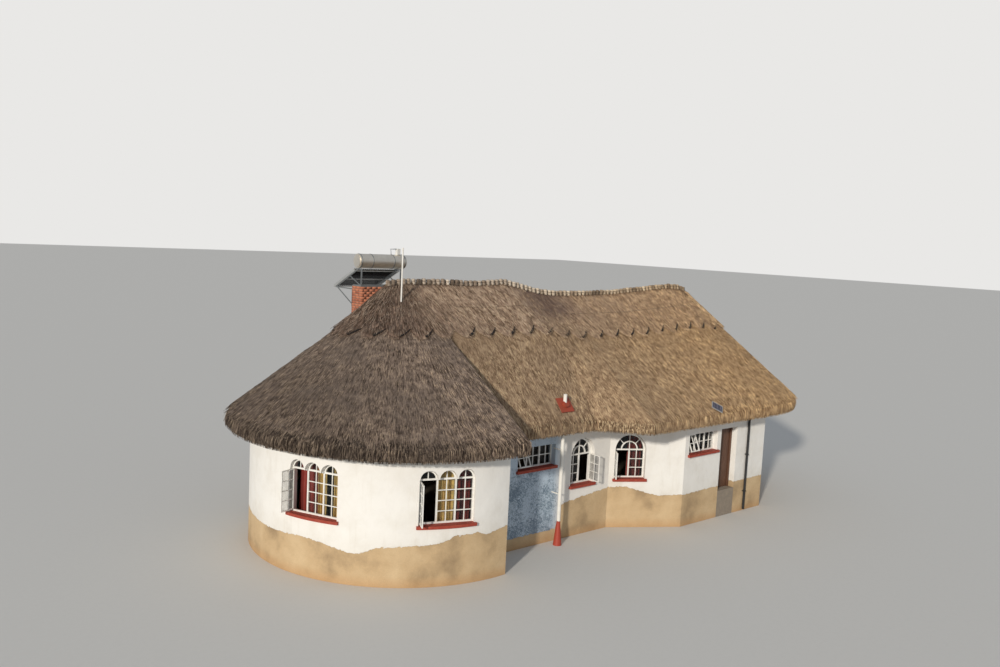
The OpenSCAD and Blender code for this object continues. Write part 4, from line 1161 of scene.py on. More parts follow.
@dataclass
class RidgeCap:
    """The thick top layer of thatch with its scalloped lower edge, on one side of the ridge."""

    name: str
    node: str
    slopes: tuple[Slope, Slope]
    stalk_count: int
    seed: int
    straw: Straw = CAP_STRAW
    stalks: Straw = CAP_STALKS
    columns: tuple[int, int] = (140, 220)
    hem: tuple[int, int] = (900, 2400)
    lift: float = 0.066
    flat: float = 0.018
    rows: int = 16

    def build(self) -> None:
        """Builds the layer as one closed coat, with stalks on it and ends showing at its scalloped edge."""
        cone, long = (ROOF.columns(s, np.linspace(0.0, 1.0, n)) for s, n in zip(self.slopes, self.columns))
        cols = np.concatenate([cone[:-1], long])
        edge = ROOF.lobe(cols)
        share = np.linspace(1, 0, self.rows) ** 1.6
        v = edge[:, None] + (1 - edge[:, None]) * share[None]
        # combed flat along the edge, but proud where a lobe rises to its cusp
        proud = self.flat + (self.lift - self.flat) * ROOF.rising(cols)
        lifts = self.lift - (self.lift - proud)[:, None] * np.exp(-(((v - edge[:, None]) / 0.05) ** 2))
        nose_v = edge[:, None] - np.array([[0.004, 0.005, 0.002]])
        nose_z = np.stack([proud * 0.85, proud * 0.45, 0 * proud + 0.006], 1)
        under = edge[:, None] + (1 - edge[:, None]) * np.linspace(0.02, 1, 6)[None]
        v = np.concatenate([v, nose_v, under, np.ones((len(cols), 1))], 1)
        lifts = np.concatenate([lifts, nose_z, 0 * under + 0.006, np.full((len(cols), 1), self.lift)], 1)
        points = ROOF.top(np.repeat(cols[:, None], v.shape[1], 1), v)
        points[..., 2] += lifts
        for i in range(len(cols)):
            for j in range(1, self.rows + 3):
                points[i, j, 2] += noise.noise(Vector(points[i, j]) * 5.0) * 0.014 - 0.006
        # the columns stand closer together up here than at the eave, and have a pattern of their own
        flow = np.stack(np.broadcast_arrays(cols[:, 4:5] * 0.6 + 40.0, v * ROOF.slope_l), -1)
        made = finished(closed_coat(points, flow), self.name, self.straw, smooth=True)
        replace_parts(made, self.node)
        for k, slope in enumerate(self.slopes):
            rng = np.random.default_rng(self.seed + k)
            count = self.stalk_count if k else self.stalk_count // 3
            t = rng.random(count)
            low = ROOF.lobe(ROOF.columns(slope, t))
            high = rng.random(count) ** 1.3
            v_at = low + 0.012 + (0.985 - low) * high
            scatter_stalks(
                f"{self.name}_stalks_{k}", slope, t, v_at, self.stalks, rng, (6.0, 12.0), self.lift + 0.004
            )
            self.fringe(slope, k, rng)
        self.lath()

    def fringe(self, slope: Slope, k: int, rng: np.random.Generator) -> None:
        """Adds the cut ends under the scalloped edge: pale stalk ends all along, and near-black strokes where
        a lobe rises to its cusp, which are painted shadow of the rising edge as well as dark cut ends.

        Args:
            slope: the face of the roof.
            k: 0 over the round room, 1 over the range.
            rng: where their places and sizes come from.
        """
        run = ROOF.runs[slope]
        at = rng.uniform(run[0], run[-1], self.hem[k])
        t = np.interp(at, run, STEPS)
        v = ROOF.lobe(ROOF.columns(slope, t)) + rng.uniform(-0.006, 0.004, len(t))
        scatter_stalks(
            f"{self.name}_hem_ends_{k}", slope, t, v, self.stalks, rng, (6.0, 11.0), 0.012, (0.05, 0.13)
        )
        # each dark stroke, painted shadow of the rising edge as well as dark cut ends, is thick at its low
        # end and thin at the cusp
        bm = bmesh.new()
        for lobe in range(math.ceil(run[0] / ROOF.lobe_w), math.floor(run[-1] / ROOF.lobe_w)):
            phase = np.linspace(rng.uniform(0.46, 0.6), 0.985, 7)
            cols = ROOF.columns(slope, np.interp((lobe + phase) * ROOF.lobe_w, run, STEPS))
            spots = ROOF.top(cols, ROOF.lobe(cols) - 0.003)
            spots[:, 2] += 0.042
            thick = np.linspace(rng.uniform(0.03, 0.048), 0.014, 7)
            for i in range(6):
                rod(bm, spots[i], spots[i + 1], thick[i], 8, thick[i + 1])
        finished(bm, f"{self.name}_cut_ends_{k}", CUT_ENDS_AND_SHADOW, smooth=True)

    def lath(self) -> None:
        """The thin stick that holds the layer down half way up it, which shows as a faint line."""
        bm = bmesh.new()
        for slope in self.slopes:
            at = ROOF.top(ROOF.columns(slope, np.linspace(0.04, 0.96, 50)), np.full(50, 0.83))
            at[:, 2] += self.lift + 0.004
            for a, b in zip(at, at[1:]):
                rod(bm, a, b, 0.01, 6)
        finished(bm, self.name + "_lath", POLE_WOOD, smooth=True)


@dataclass
class RidgeKnots:
    """The row of small straw bundles tied along the ridge, close beside each other."""

    pitch: float = 0.18
    start: float = -0.84
    count: int = 77
    tall: float = 0.182
    foot: float = 0.03
    seed: int = 31

    def profile(self, h: float) -> float:
        """Radius of a bundle at height h from 0 to 1: waisted where it is tied, rounded at the top."""
        waist = 0.073 - 0.01 * math.exp(-(((h - 0.55) / 0.13) ** 2))
        return waist * math.sqrt(1 - (max(0.0, h - 0.78) / 0.27) ** 2)

    def build(self) -> None:
        """Builds the bundles, their stalks and the roll, and hides the plain crest."""
        bm = bmesh.new()
        bmesh.ops.create_cone(bm, cap_ends=True, segments=10, radius1=1.0, radius2=1.0, depth=1.0)
        bmesh.ops.translate(bm, vec=(0, 0, 0.5), verts=bm.verts)
        upright = [e for e in bm.edges if abs(e.verts[0].co.z - e.verts[1].co.z) > 0.5]
        bmesh.ops.subdivide_edges(bm, edges=upright, cuts=7, use_grid_fill=True)
        for v in bm.verts:
            r = self.profile(v.co.z) * (1 + 0.1 * math.sin(math.atan2(v.co.y, v.co.x) * 5))
            v.co = Vector((v.co.x * r, v.co.y * r, v.co.z * self.tall))
        template = as_template(bm)
        rng = np.random.default_rng(self.seed)
        xs = self.start + self.pitch * (np.arange(self.count) + 0.5)
        places = []
        for x in xs:
            # bundles past the middle were tied leaning towards the far end
            slant = 24 * math.exp(-(((x - 8.0) / 1.2) ** 2))
            lean = turned(slant + rng.normal(0, 4), "Y") @ turned(rng.normal(0, 4), "X")
            size = Matrix.Diagonal(
                (rng.uniform(0.95, 1.1), rng.uniform(0.9, 1.05), rng.uniform(0.86, 1.0), 1)
            )
            spin = Matrix.Rotation(rng.uniform(0, 6.28), 4, "Z")
            places.append(
                np.array(Matrix.Translation((x, 0, ROOF.ridge(x) + self.foot)) @ lean @ spin @ size)
            )
        tone = np.clip(rng.normal(0.5, 0.1, len(xs)) + 0.25 * np.exp(-(((xs - 5.0) / 1.0) ** 2)), 0, 1)
        made = copies("ridge_bundles", template, np.array(places), tone, KNOT_STALKS)
        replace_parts(made, "ridge_crest")
        self.tops(xs, tone, rng)
        self.roll()

    def tops(self, xs: np.ndarray, tone: np.ndarray, rng: np.random.Generator) -> None:
        """Adds the stalks that stand out of each bundle, and the ties round their waists.

        Args:
            xs: where the bundles are along the ridge.
            tone: the tone of each.
            rng: where the stalks' places and sizes come from.
        """
        each = 18
        n = len(xs) * each
        x = np.repeat(xs, each)
        around = rng.uniform(0, 2 * math.pi, n)
        tilt = np.radians(rng.uniform(0, 9, n))
        r = rng.uniform(0.03, 0.076, n)
        axis = np.stack([np.cos(around) * np.sin(tilt), np.sin(around) * np.sin(tilt), np.cos(tilt)], -1)
        side = np.stack([-np.sin(around), np.cos(around), 0 * around], -1)
        third = np.cross(axis, side)
        length = rng.uniform(0.09, 0.145, (n, 1))
        thick = rng.uniform(0.007, 0.012, (n, 1))
        z = ROOF.ridge(x) + self.foot + rng.uniform(0.0, 0.03, n)
        base = np.stack([x + np.cos(around) * r, np.sin(around) * r, z], -1)
        places = np.stack((axis * length, side * thick, third * thick, base), -1)
        tones = np.clip(np.repeat(tone, each) + rng.normal(0, 0.15, n), 0, 1)
        copies("ridge_bundle_stalks", stalk_template(), places, tones, KNOT_STALKS)
        bm = bmesh.new()
        for k, z in zip(xs, ROOF.ridge(xs) + self.foot + self.tall * 0.52):
            rod(bm, (k, 0, z), (k, 0, z + 0.01), 0.076, 12)
        finished(bm, "ridge_ties", POLE_WOOD)

    def roll(self) -> None:
        """The long roll of straw that the bundles are tied to."""
        bm = bmesh.new()
        uv = bm.loops.layers.uv.new("straw")
        n, m = 160, 13
        grid = bmesh.ops.create_grid(bm, x_segments=n - 1, y_segments=m - 1, size=1.0)["verts"]
        bm.verts.index_update()
        flow = {}
        for vert in grid:
            f, a = (vert.co.x + 1) / 2, (vert.co.y + 1) * math.pi
            x = ROOF.ridge_x0 + 0.06 + f * (ROOF.ridge_x1 - ROOF.ridge_x0 - 0.25)
            z = float(ROOF.ridge(np.array([x]))[0]) + 0.066
            fat = 1 + 0.12 * noise.noise(Vector((x * 6, a, 0)))
            vert.co = Vector((x, 0.05 * fat * math.cos(a), z + 0.025 * fat * math.sin(a)))
            flow[vert.index] = (a * 0.1, x)
        for face in bm.faces:
            for loop in face.loops:
                loop[uv].uv = flow[loop.vert.index]
        bmesh.ops.remove_doubles(bm, verts=bm.verts, dist=1e-5)
        caps = bmesh.ops.holes_fill(bm, edges=[e for e in bm.edges if e.is_boundary], sides=0)["faces"]
        bmesh.ops.triangulate(bm, faces=caps)
        bmesh.ops.recalc_face_normals(bm, faces=bm.faces)
        finished(bm, "ridge_roll", KNOT_STRAW, smooth=True)


# Windows
@dataclass(frozen=True)
class Walls:
    """Places on the walls: x along the wall, y inwards and z up, seen from outside."""

    round_r: float = 4.45
    half: float = 4.45
    recess_y: float = -3.15
    bay_from: tuple[float, float, float] = (5.74, -3.15, 0)
    bay_to: tuple[float, float, float] = (7.88, -4.45, 0)
    bay_shift: float = 0.56
    left_turn: float = -156.2
    right_turn: float = -109.5

    def on_round(self, angle: float) -> Matrix:
        """Middle of a window in the round wall at an angle in degrees."""
        return turned(angle + 90, "Z") @ Matrix.Translation((0, -self.round_r, 0))

    def on_bay(self) -> Matrix:
        """Middle of the window in the slanting bay wall.

        Returns:
            Its place.
        """
        a, b = Vector(self.bay_from), Vector(self.bay_to)
        way = (b - a).normalized()
        turn = Matrix.Rotation(math.atan2(way.y, way.x), 4, "Z")
        return Matrix.Translation((a + b) / 2 - way * self.bay_shift) @ turn

    def on_front(self, x: float, y: float) -> Matrix:
        """A place on a wall that faces the front."""
        return Matrix.Translation((x, y, 0))

    def on_back(self, x: float) -> Matrix:
        """A place on the back wall."""
        return Matrix.Translation((x, self.half, 0)) @ Matrix.Rotation(math.pi, 4, "Z")


WALLS = Walls()


@dataclass
class Glazing:
    """The thin steel glazing bars of one window, 22 mm wide, and its open light's."""

    name: str
    place: Matrix
    thin: float = 0.022
    y0: float = 0.176
    y1: float = 0.204
    bm: bmesh.types.BMesh = field(default_factory=bmesh.new)

    def grid(
        self, x0: float, x1: float, z0: float, z1: float, across: int, up: int, leaf: Matrix | None = None
    ) -> None:
        """Bars that divide one light into panes.

        Args:
            x0: left edge of the light.
            x1: right edge.
            z0: lower edge.
            z1: upper edge.
            across: panes side by side.
            up: panes above each other.
            leaf: place of an open light, whose bars lie from y 0 to 0.03.
        """
        y0, y1 = (self.y0, self.y1) if leaf is None else (0.004, 0.026)
        at = self.place if leaf is None else self.place @ leaf
        h = self.thin / 2
        for k in range(1, across):
            x = x0 + (x1 - x0) * k / across
            box(self.bm, (x - h, y0, z0), (x + h, y1, z1), at)
        for k in range(1, up):
            z = z0 + (z1 - z0) * k / up
            box(self.bm, (x0, y0 + 0.001, z - h), (x1, y1 - 0.001, z + h), at)

    def ray(self, x: float, z: float, r0: float, r1: float, angle: float) -> None:
        """One bar of a fanlight from radius r0 to r1 at an angle in degrees."""
        turn = Matrix.Translation((x, 0, z)) @ turned(-angle, "Y")
        box(self.bm, (r0, self.y0, -self.thin / 2), (r1, self.y1, self.thin / 2), self.place @ turn)

    def build(self) -> None:
        """Makes the piece."""
        finished(self.bm, self.name, STEEL)


@dataclass
class Windows:
    """The glazing bars of all eight windows, set out as the frame's own steel is."""

    w3: float = 1.51
    w2: float = 1.02
    bar: float = 0.045
    leaf_y: float = 0.176
    edge: float = 0.025

    def leaf(self, made: Glazing, third: float, z0: float, z1: float, up: int, hinge: Matrix) -> None:
        """The bars of an open light of two panes across, inside its own steel edge.

        Args:
            made: the window's bars.
            third: width of the light with its share of the frame.
            z0: foot of the lights.
            z1: their head.
            up: panes above each other.
            hinge: place of its hinge.
        """
        low, high = z0 + self.bar + 0.028, z1 - self.bar - 0.028
        made.grid(self.edge, third - self.bar - self.edge, low, high, 2, up, hinge)

    def fixed(self, made: Glazing, z0: float, z1: float, up: int) -> None:
        """The bars of the two right-hand lights of a window of three.

        Args:
            made: the window's bars.
            z0: foot of the lights.
            z1: their head.
            up: panes above each other.
        """
        third = self.w3 / 3
        for k in (0, 1):
            x0 = -self.w3 / 2 + third * (k + 1) + self.bar / 2
            made.grid(x0, x0 + third - self.bar, z0 + self.bar, z1 - self.bar, 2, up)

    def three_arched(self, name: str, place: Matrix) -> None:
        """Three lights of two by four panes under half-round heads; the first stands open.

        Args:
            name: the piece's name.
            place: the window's place on its wall.
        """
        z0, zt, third = 1.63, 2.82, self.w3 / 3
        made = Glazing(name, place)
        self.fixed(made, z0, zt, 4)
        for k in (-1, 0, 1):
            made.ray(k * third, zt - self.bar / 2, 0.02, third / 2 - 0.03, 90)
        hinge = Matrix.Translation((-self.w3 / 2 + self.bar - 0.008, self.leaf_y, 0)) @ turned(-96, "Z")
        self.leaf(made, third, z0, zt, 4, hinge)
        made.build()

    def two_arched(self, name: str, place: Matrix, side: int, angle: float) -> None:
        """Two tall lights of two by three panes under one half-round fanlight; one stands open.

        Args:
            name: the piece's name.
            place: the window's place on its wall.
            side: 1 when the right light is the open one, -1 when it is the left.
            angle: how far that one stands open, in degrees.
        """
        z0, zt, r = 1.59, 2.52, self.w2 / 2
        made = Glazing(name, place)
        x0, x1 = (-r + self.bar, -self.bar / 2) if side > 0 else (self.bar / 2, r - self.bar)
        made.grid(x0, x1, z0 + self.bar, zt - self.bar, 2, 3)
        for a in (45, 90, 135):
            made.ray(0, zt - self.bar / 2, r * 0.53, r - 0.03, a)
        made.ray(0, zt - self.bar / 2, 0.02, r * 0.5, 90)
        at = Matrix.Translation((side * (r - self.bar + 0.008), self.leaf_y, 0))
        self.leaf(made, r, z0, zt, 3, at @ turned(180 + angle if side > 0 else -angle, "Z"))
        made.build()

    def three_low(self, name: str, place: Matrix) -> None:
        """Three low lights of two by two panes; the first is hung at its top and stands open.

        Args:
            name: the piece's name.
            place: the window's place on its wall.
        """
        z0, h, third = 2.35, 0.65, self.w3 / 3
        made = Glazing(name, place)
        self.fixed(made, z0, z0 + h, 2)
        hang = Matrix.Translation((-self.w3 / 2 + self.bar + 0.004, 0.146, z0 + h - self.bar + 0.004))
        w, tall = third - self.bar * 1.5 - 0.008, h - 2 * self.bar
        made.grid(self.edge, w - self.edge, -tall + self.edge, -self.edge, 2, 2, hang @ turned(-24, "X"))
        made.build()

    def build(self) -> None:
        """Builds the bars of all eight windows."""
        self.three_arched("bars_round_left", WALLS.on_round(WALLS.left_turn))
        self.three_arched("bars_round_right", WALLS.on_round(WALLS.right_turn))
        self.three_low("bars_recess", WALLS.on_front(2.57, WALLS.recess_y))
        self.two_arched("bars_arched_left", WALLS.on_front(4.53, WALLS.recess_y), 1, 85)
        self.two_arched("bars_arched_right", WALLS.on_bay(), -1, 98)
        self.three_low("bars_front", WALLS.on_front(8.84, -WALLS.half))
        self.three_low("bars_back_left", WALLS.on_back(3.8))
        self.two_arched("bars_back_right", WALLS.on_back(9.2), -1, 4)


@dataclass
class Curtain:
    """A gathered curtain that hangs inside a window from just above its head."""

    name: str
    wall: str
    place: Matrix
    x0: float
    x1: float
    top: float
    finish: Cloth
    bottom: float = 1.5
    y: float = 0.36
    fold: float = 0.035
    folds: int = 5
    seed: int = 1

    def build(self) -> None:
        bm = bmesh.new()
        n, m = self.folds * 12, 18
        grid = bmesh.ops.create_grid(bm, x_segments=n, y_segments=m, size=1.0)["verts"]
        for vert in grid:
            f, h = (vert.co.x + 1) / 2, (vert.co.y + 1) / 2
            deep = self.fold * (1.15 - 0.45 * h)
            sway = noise.noise(Vector((f * 4 + self.seed, h * 1.5, 0))) * 0.03
            y = self.y + deep * math.sin(f * self.folds * 2 * math.pi) + sway
            x = self.x0 + (self.x1 - self.x0) * f + 0.02 * math.sin(f * 19 + h * 2)
            vert.co = Vector((x, y, self.bottom + (self.top - self.bottom) * h))
        area = sum(f.calc_area() for f in bm.faces)
        bmesh.ops.transform(bm, matrix=self.place, verts=bm.verts)
        bmesh.ops.recalc_face_normals(bm, faces=bm.faces)
        made = finished(bm, self.name, self.finish, smooth=True)


# Entrance, pier and heater
@dataclass
class Entrance:
    """The boarded door leaf with its ledges, pull handle and hinges."""

    x0: float = 9.858
    width: float = 0.774
    y0: float = -4.195
    z0: float = 0.908
    height: float = 2.044
    board_d: float = 0.024
    boards: int = 6
    pin: tuple[float, float] = (10.64, -4.136)

    def build(self) -> None:
        """Builds the leaf in place of its plain node."""
        bm = bmesh.new()
        x0, y0, z0, step = self.x0, self.y0, self.z0, self.width / self.boards
        for k in range(self.boards):
            x = x0 + k * step
            box(
                bm, (x + 0.0015, y0, z0), (x + step - 0.0015, y0 + self.board_d, z0 + self.height),
                bevel=0.003,
            )
        for z in (0.16, 0.98, 1.78):
            low = (x0 + 0.01, y0 + self.board_d, z0 + z)
            box(bm, low, (x0 + self.width - 0.01, y0 + 0.0435, z0 + z + 0.13), bevel=0.003)
        leaf = finished(bm, "door_boards", DOOR_WOOD, DOOR)
        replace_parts(leaf, "entrance_door")
        metal = bmesh.new()
        for y in (y0 - 0.05, y0 + 0.044):
            rod(metal, (x0 + 0.07, y, z0 + 1.012), (x0 + 0.07, y + 0.05, z0 + 1.012), 0.011, 16)
        for y in (y0 - 0.06, y0 + 0.09):
            box(metal, (x0 + 0.06, y, z0 + 1.002), (x0 + 0.19, y + 0.014, z0 + 1.022), bevel=0.004)
        box(metal, (x0 + 0.045, y0 - 0.004, z0 + 0.9), (x0 + 0.095, y0 - 0.0002, z0 + 1.1), bevel=0.001)
        for z in (z0 + 0.192, z0 + 0.992, z0 + 1.742):
            top = (*self.pin, z + 0.11)
            rod(metal, (*self.pin, z), top, 0.009, 16)
            box(metal, (self.pin[0] - 0.05, y0 + 0.0437, z), top, bevel=0.002)
        finished(metal, "door_handle_and_hinges", GALVANISED, DOOR)


@dataclass
class Pier:
    """The brick pier of the water heater, in courses of 86 mm with raked mortar joints."""

    x: float = 1.98
    y: float = 4.75
    wide: float = 0.83
    deep: float = 0.3
    height: float = 7.14
    courses: int = 83
    seed: int = 5

    @classmethod
    def hides(cls, points: np.ndarray, room: float = 0.06) -> np.ndarray:
        """Tells which points lie in the notch that the thatch leaves for the pier."""
        return (np.abs(points[..., 0] - cls.x) < cls.wide + room) & (points[..., 1] > cls.y - cls.deep - room)

    def build(self) -> None:
        """Builds the mortar core and every brick round it."""
        core = bmesh.new()
        wide, deep = self.wide - 0.012, self.deep - 0.012
        box(core, (self.x - wide, self.y - deep, 0.0), (self.x + wide, self.y + deep, self.height - 0.005))
        mortar = finished(core, "pier_mortar", MORTAR)
        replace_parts(mortar, "heater_pier")
        bm = bmesh.new()
        box(bm, (0, 0, 0), (1, 1, 1))
        template = as_template(bm)
        rng = np.random.default_rng(self.seed)
        rise, joint, brick, head = self.height / self.courses, 0.011, 0.2225, 0.103
        places = []
        for c in range(self.courses):
            for side in range(4):
                half, out = (self.wide, self.deep) if side % 2 == 0 else (self.deep, self.wide)
                turn = Matrix.Translation((self.x, self.y, 0)) @ Matrix.Rotation(side * math.pi / 2, 4, "Z")
                at, end = -half, half - head - joint
                while at < end - 0.03:
                    length = min(brick - joint, end - at)
                    # every other course runs the other way round, so that the joints are staggered
                    low = Vector(
                        (at if c % 2 == 0 else -at - length, rng.uniform(0.0, 0.004) - out, c * rise)
                    )
                    size = (length, head, rise - joint)
                    places.append(np.array(turn @ Matrix.Translation(low) @ Matrix.Diagonal((*size, 1))))
                    at += brick
        copies("pier_bricks", template, np.array(places), rng.random(len(places)), BRICK)


@dataclass
class Heater:
    """The solar water heater: the tank's straps and pipes, and the glass tubes on their sloping rack."""

    tank_x: float = 1.15
    tank_y: float = 4.75
    tank_z: float = 8.0
    tank_r: float = 0.25
    tank_l: float = 1.87
    rack_y: float = 4.92
    rack_z: float = 7.655
    slope_l: float = 1.5
    slope: float = -26.0

    def build(self) -> None:
        """Builds what the plain solids leave out."""
        bm = bmesh.new()
        r = self.tank_r + 0.004
        for x in (0.045, 0.5, 1.37, 1.82):
            at = Matrix.Translation((self.tank_x + x, self.tank_y, self.tank_z)) @ turned(90, "Y")
            bmesh.ops.create_cone(
                bm, cap_ends=False, segments=64, radius1=r, radius2=r, depth=0.035, matrix=at
            )
        bmesh.ops.solidify(bm, geom=bm.faces[:], thickness=-0.003)
        finished(bm, "tank_straps", GALVANISED, smooth=True)
        low = Matrix.Translation((self.tank_x, self.rack_y, self.rack_z)) @ turned(self.slope, "X")
        rack = bmesh.new()
        for x in (0.0, self.tank_l - 0.05):
            box(rack, (x, 0, 0), (x + 0.05, self.slope_l, 0.089), low, bevel=0.003)
        for y in (0.02, 0.74, 1.44):
            box(rack, (0.05, y, 0.002), (self.tank_l - 0.05, y + 0.04, 0.03), low)
        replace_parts(finished(rack, "collector_rack", ALUMINIUM), "solar_collector")
        tubes = bmesh.new()
        for x in np.arange(0.1, self.tank_l - 0.09, 0.0755):
            rod(tubes, low @ Vector((x, 0.02, 0.055)), low @ Vector((x, 1.43, 0.055)), 0.029, 16)
        finished(tubes, "collector_tubes", DARK_GLASS, smooth=True)
        self.pipes()

    def pipes(self) -> None:
        """The thin pipes at the tank's right end: one down from the header box, and a short vent."""
        x, y, top = self.tank_x + self.tank_l - 0.22, self.tank_y, self.tank_z + self.tank_r
        front = y - self.tank_r - 0.035
        runs = (
            ((x, y - 0.04, top + 0.02), (x, front, top + 0.02), (x, front, 7.42)),
            ((x - 0.28, y, top - 0.02), (x - 0.31, y, top + 0.19), (x - 0.06, y, top + 0.2)),
        )
        bm = bmesh.new()
        for run in runs:
            for a, b in zip(run, run[1:]):
                rod(bm, a, b, 0.016, 12)
            for spot in run:
                bmesh.ops.create_icosphere(bm, subdivisions=2, radius=0.018, matrix=Matrix.Translation(spot))
        finished(bm, "heater_pipes", PIPE_PAINT, smooth=True)


@dataclass
class LightPanel:
    """The small solar panel near the eave: white frame, violet cells."""

    x: float = 8.78
    y: float = -4.9
    ridge_at: float = 9.35
    turn: float = 42.0

    def build(self) -> None:
        """Builds the frame and the cells over the plain node's slab, lying on the thatch."""
        rise = float((ROOF.ridge(self.ridge_at) - ROOF.eave_top) / ROOF.eave_r)
        place = Matrix.Translation((self.x, self.y, ROOF.eave_top + (ROOF.eave_r + self.y) * rise + 0.02))
        place = place @ Matrix.Rotation(math.atan(rise), 4, "X") @ turned(self.turn, "Z")
        bm = bmesh.new()
        for turn in range(4):
            at = place @ Matrix.Rotation(turn * math.pi / 2, 4, "Z")
            box(bm, (-0.19, -0.19, 0.0), (0.172, -0.172, 0.0248), at, bevel=0.002)
        box(bm, (-0.172, -0.172, 0.001), (0.172, 0.172, 0.012), place)
        edge = finished(bm, "panel_frame", ALUMINIUM)
        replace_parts(edge, "light_panel")
        cells = bmesh.new()
        uv = cells.loops.layers.uv.new("cells")
        box(cells, (-0.171, -0.171, 0.0125), (0.171, 0.171, 0.02))
        for face in cells.faces:
            for loop in face.loops:
                loop[uv].uv = (loop.vert.co.x / 0.057, loop.vert.co.y / 0.114)
        bmesh.ops.transform(cells, matrix=place, verts=cells.verts)
        finished(cells, "panel_cells", CELLS)


@dataclass
class Coats:
    """Which finish each carried-over node gets."""

    finishes: dict[Finish, str] = field(
        default_factory=lambda: {
            SCREED: "floor_slab door_threshold",
            WALL: "round_wall_front round_wall_left round_wall_back return_wall return_gable bay_wall"
            " front_wall front_wall_right door_lintel end_wall back_wall",
            SHADE_WALL: "recess_wall",
            STEEL: "round_window_left round_window_right recess_window arched_window_left arched_window_right"
            " front_window back_window_left back_window_right",
            GLASS: "window_glass",
            SILL: "sill_round_left sill_round_right sill_recess sill_arched_left sill_arched_right sill_front"
            " sill_back_left sill_back_right",
            DOOR_WOOD: "door_frame",
            WHITE_PIPE: "flue_pipe",
            SHEET: "flue_flashing",
            BLACK_PIPE: "drainpipe",
            GALVANISED: "heater_frame",
            TANK_STEEL: "water_tank",
            BOX_PAINT: "header_box",
            POLE_PAINT: "vent_pole",
        }
    )

    def apply(self, nodes: dict[str, bpy.types.Object]) -> None:
        """Gives each node its finish.

        Args:
            nodes: the frame's nodes by name.
        """
        for finish, names in self.finishes.items():
            for name in names.split():
                mesh = nodes[name].data
                mesh.materials.clear()
                mesh.materials.append(finish.material())
                log.info("%s: carried over", name)


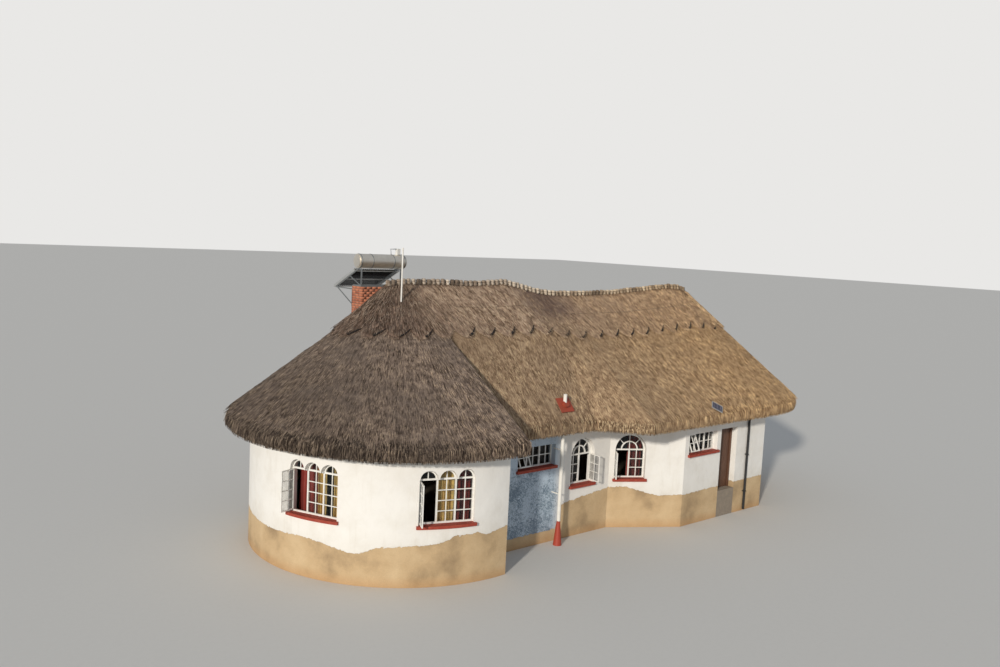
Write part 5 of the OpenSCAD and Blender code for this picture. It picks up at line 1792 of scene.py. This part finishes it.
# Studio
@dataclass
class Studio:
    """The photograph's camera, a pale floor and soft daylight."""

    lens: float = 32.57
    place: tuple[float, float, float] = (-15.448, -21.965, 8.988)
    heading: float = 40.988
    down: float = 5.974
    roll: float = 2.758
    floor_tone: str = "#d8d6d1"
    sun_power: float = 2.7
    sun_bearing: float = 208.0
    sun_height: float = 18.0
    sky_power: float = 0.45

    def camera(self) -> None:
        """Stands the camera where the photograph was taken from."""
        h, d, r = (math.radians(a) for a in (self.heading, self.down, self.roll))
        ahead = Vector((math.sin(h) * math.cos(d), math.cos(h) * math.cos(d), -math.sin(d)))
        right = Vector((math.cos(h), -math.sin(h), 0))
        below = Vector((-math.sin(h) * math.sin(d), -math.cos(h) * math.sin(d), -math.cos(d)))
        x = right * math.cos(r) - below * math.sin(r)
        y = -(right * math.sin(r) + below * math.cos(r))
        data = bpy.data.cameras.new("camera")
        data.lens, data.sensor_width, data.clip_end = self.lens, 36.0, 900.0
        made = bpy.data.objects.new("camera", data)
        made.matrix_world = Matrix.Translation(self.place) @ Matrix((x, y, -ahead)).transposed().to_4x4()
        bpy.context.scene.collection.objects.link(made)
        bpy.context.scene.camera = made

    def floor(self) -> None:
        """A wide pale floor that keeps the shadow."""
        bm = bmesh.new()
        bmesh.ops.create_grid(bm, x_segments=2, y_segments=2, size=300.0)
        mesh = bpy.data.meshes.new("studio_floor")
        bm.to_mesh(mesh)
        bm.free()
        made = bpy.data.objects.new("studio_floor", mesh)
        bpy.context.scene.collection.objects.link(made)
        made.location.z = -0.002
        mesh.materials.append(Enamel("studio_floor", self.floor_tone, "#d2d0cb", 0.3, 0.9, 400.0).material())

    def light(self) -> None:
        """Low sun from the left front through haze, and a pale sky."""
        sun = bpy.data.lights.new("sun", "SUN")
        sun.energy, sun.angle, sun.color = self.sun_power, math.radians(3), (1.0, 0.93, 0.83)
        lamp = bpy.data.objects.new("sun", sun)
        bearing, height = math.radians(self.sun_bearing), math.radians(self.sun_height)
        to_sun = Vector(
            (math.cos(bearing) * math.cos(height), math.sin(bearing) * math.cos(height), math.sin(height))
        )
        lamp.rotation_mode = "QUATERNION"
        lamp.rotation_quaternion = to_sun.to_track_quat("Z", "Y")
        lamp.location = (-20, -12, 20)
        bpy.context.scene.collection.objects.link(lamp)
        world = bpy.data.worlds.new("studio")
        bpy.context.scene.world = world
        world.use_nodes = True
        tree = world.node_tree
        tree.nodes.clear()
        sees = add(tree, "LightPath").outputs["Is Camera Ray"]
        sky = add(tree, "Background", {"Color": linear("#dfe7f2"), "Strength": self.sky_power})
        wall = add(tree, "Background", {"Color": linear("#e9e8e6"), "Strength": 1.0})
        both = add(tree, "MixShader", {}, {0: sees, 1: sky, 2: wall})
        add(tree, "OutputWorld", {}, {"Surface": both})
        bpy.context.scene.view_settings.view_transform = "Standard"

    def build(self) -> None:
        """Builds the whole studio."""
        self.camera()
        self.floor()
        self.light()


def main() -> None:
    """Builds the classes in order."""
    logging.basicConfig(level=logging.INFO, format="%(name)s: %(message)s")
    Studio().build()
    Coats().apply(frame["nodes"])
    # the unseen back has fewer loose stalks
    Thatch(Slope.CONE_FRONT, "thatch_round_front", CONE_STRAW, CONE_STALKS, 16400, 220, 1).build()
    Thatch(Slope.RANGE_FRONT, "thatch_front", RANGE_STRAW, RANGE_STALKS, 23000, 360, 2).build()
    Thatch(Slope.CONE_BACK, "thatch_round_back", CONE_STRAW, CONE_STALKS, 5500, 130, 3).build()
    Thatch(Slope.RANGE_BACK, "thatch_back", RANGE_STRAW, RANGE_STALKS, 9000, 240, 4).build()
    RidgeCap("cap_front", "ridge_cap_front", (Slope.CONE_FRONT, Slope.RANGE_FRONT), 7000, 11).build()
    RidgeCap("cap_back", "ridge_cap_back", (Slope.CONE_BACK, Slope.RANGE_BACK), 3400, 21).build()
    RidgeKnots().build()
    Windows().build()
    round_left = ("round_wall_left", WALLS.on_round(WALLS.left_turn))
    round_front = ("round_wall_front", WALLS.on_round(WALLS.right_turn))
    Curtain("curtain_left_a", *round_left, -0.06, 0.2, 3.1, YELLOW_CLOTH, folds=4, seed=1).build()
    Curtain("curtain_left_b", *round_left, 0.42, 0.74, 3.1, YELLOW_CLOTH, folds=4, seed=2).build()
    Curtain("curtain_left_red", *round_left, -0.76, -0.1, 3.1, RED_CLOTH, y=0.5, folds=6, seed=3).build()
    Curtain("curtain_right_a", *round_front, -0.22, 0.26, 3.1, YELLOW_CLOTH, folds=6, seed=4).build()
    Curtain("curtain_right_red", *round_front, 0.28, 0.78, 3.1, RED_CLOTH, y=0.5, folds=5, seed=5).build()
    Curtain(
        "curtain_bay_red", "bay_wall", WALLS.on_bay(), 0.02, 0.5, 3.0, RED_CLOTH, y=0.5, folds=5, seed=6
    ).build()
    Entrance().build()
    Pier().build()
    Heater().build()
    LightPanel().build()
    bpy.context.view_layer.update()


if __name__ == "__main__":
    main()
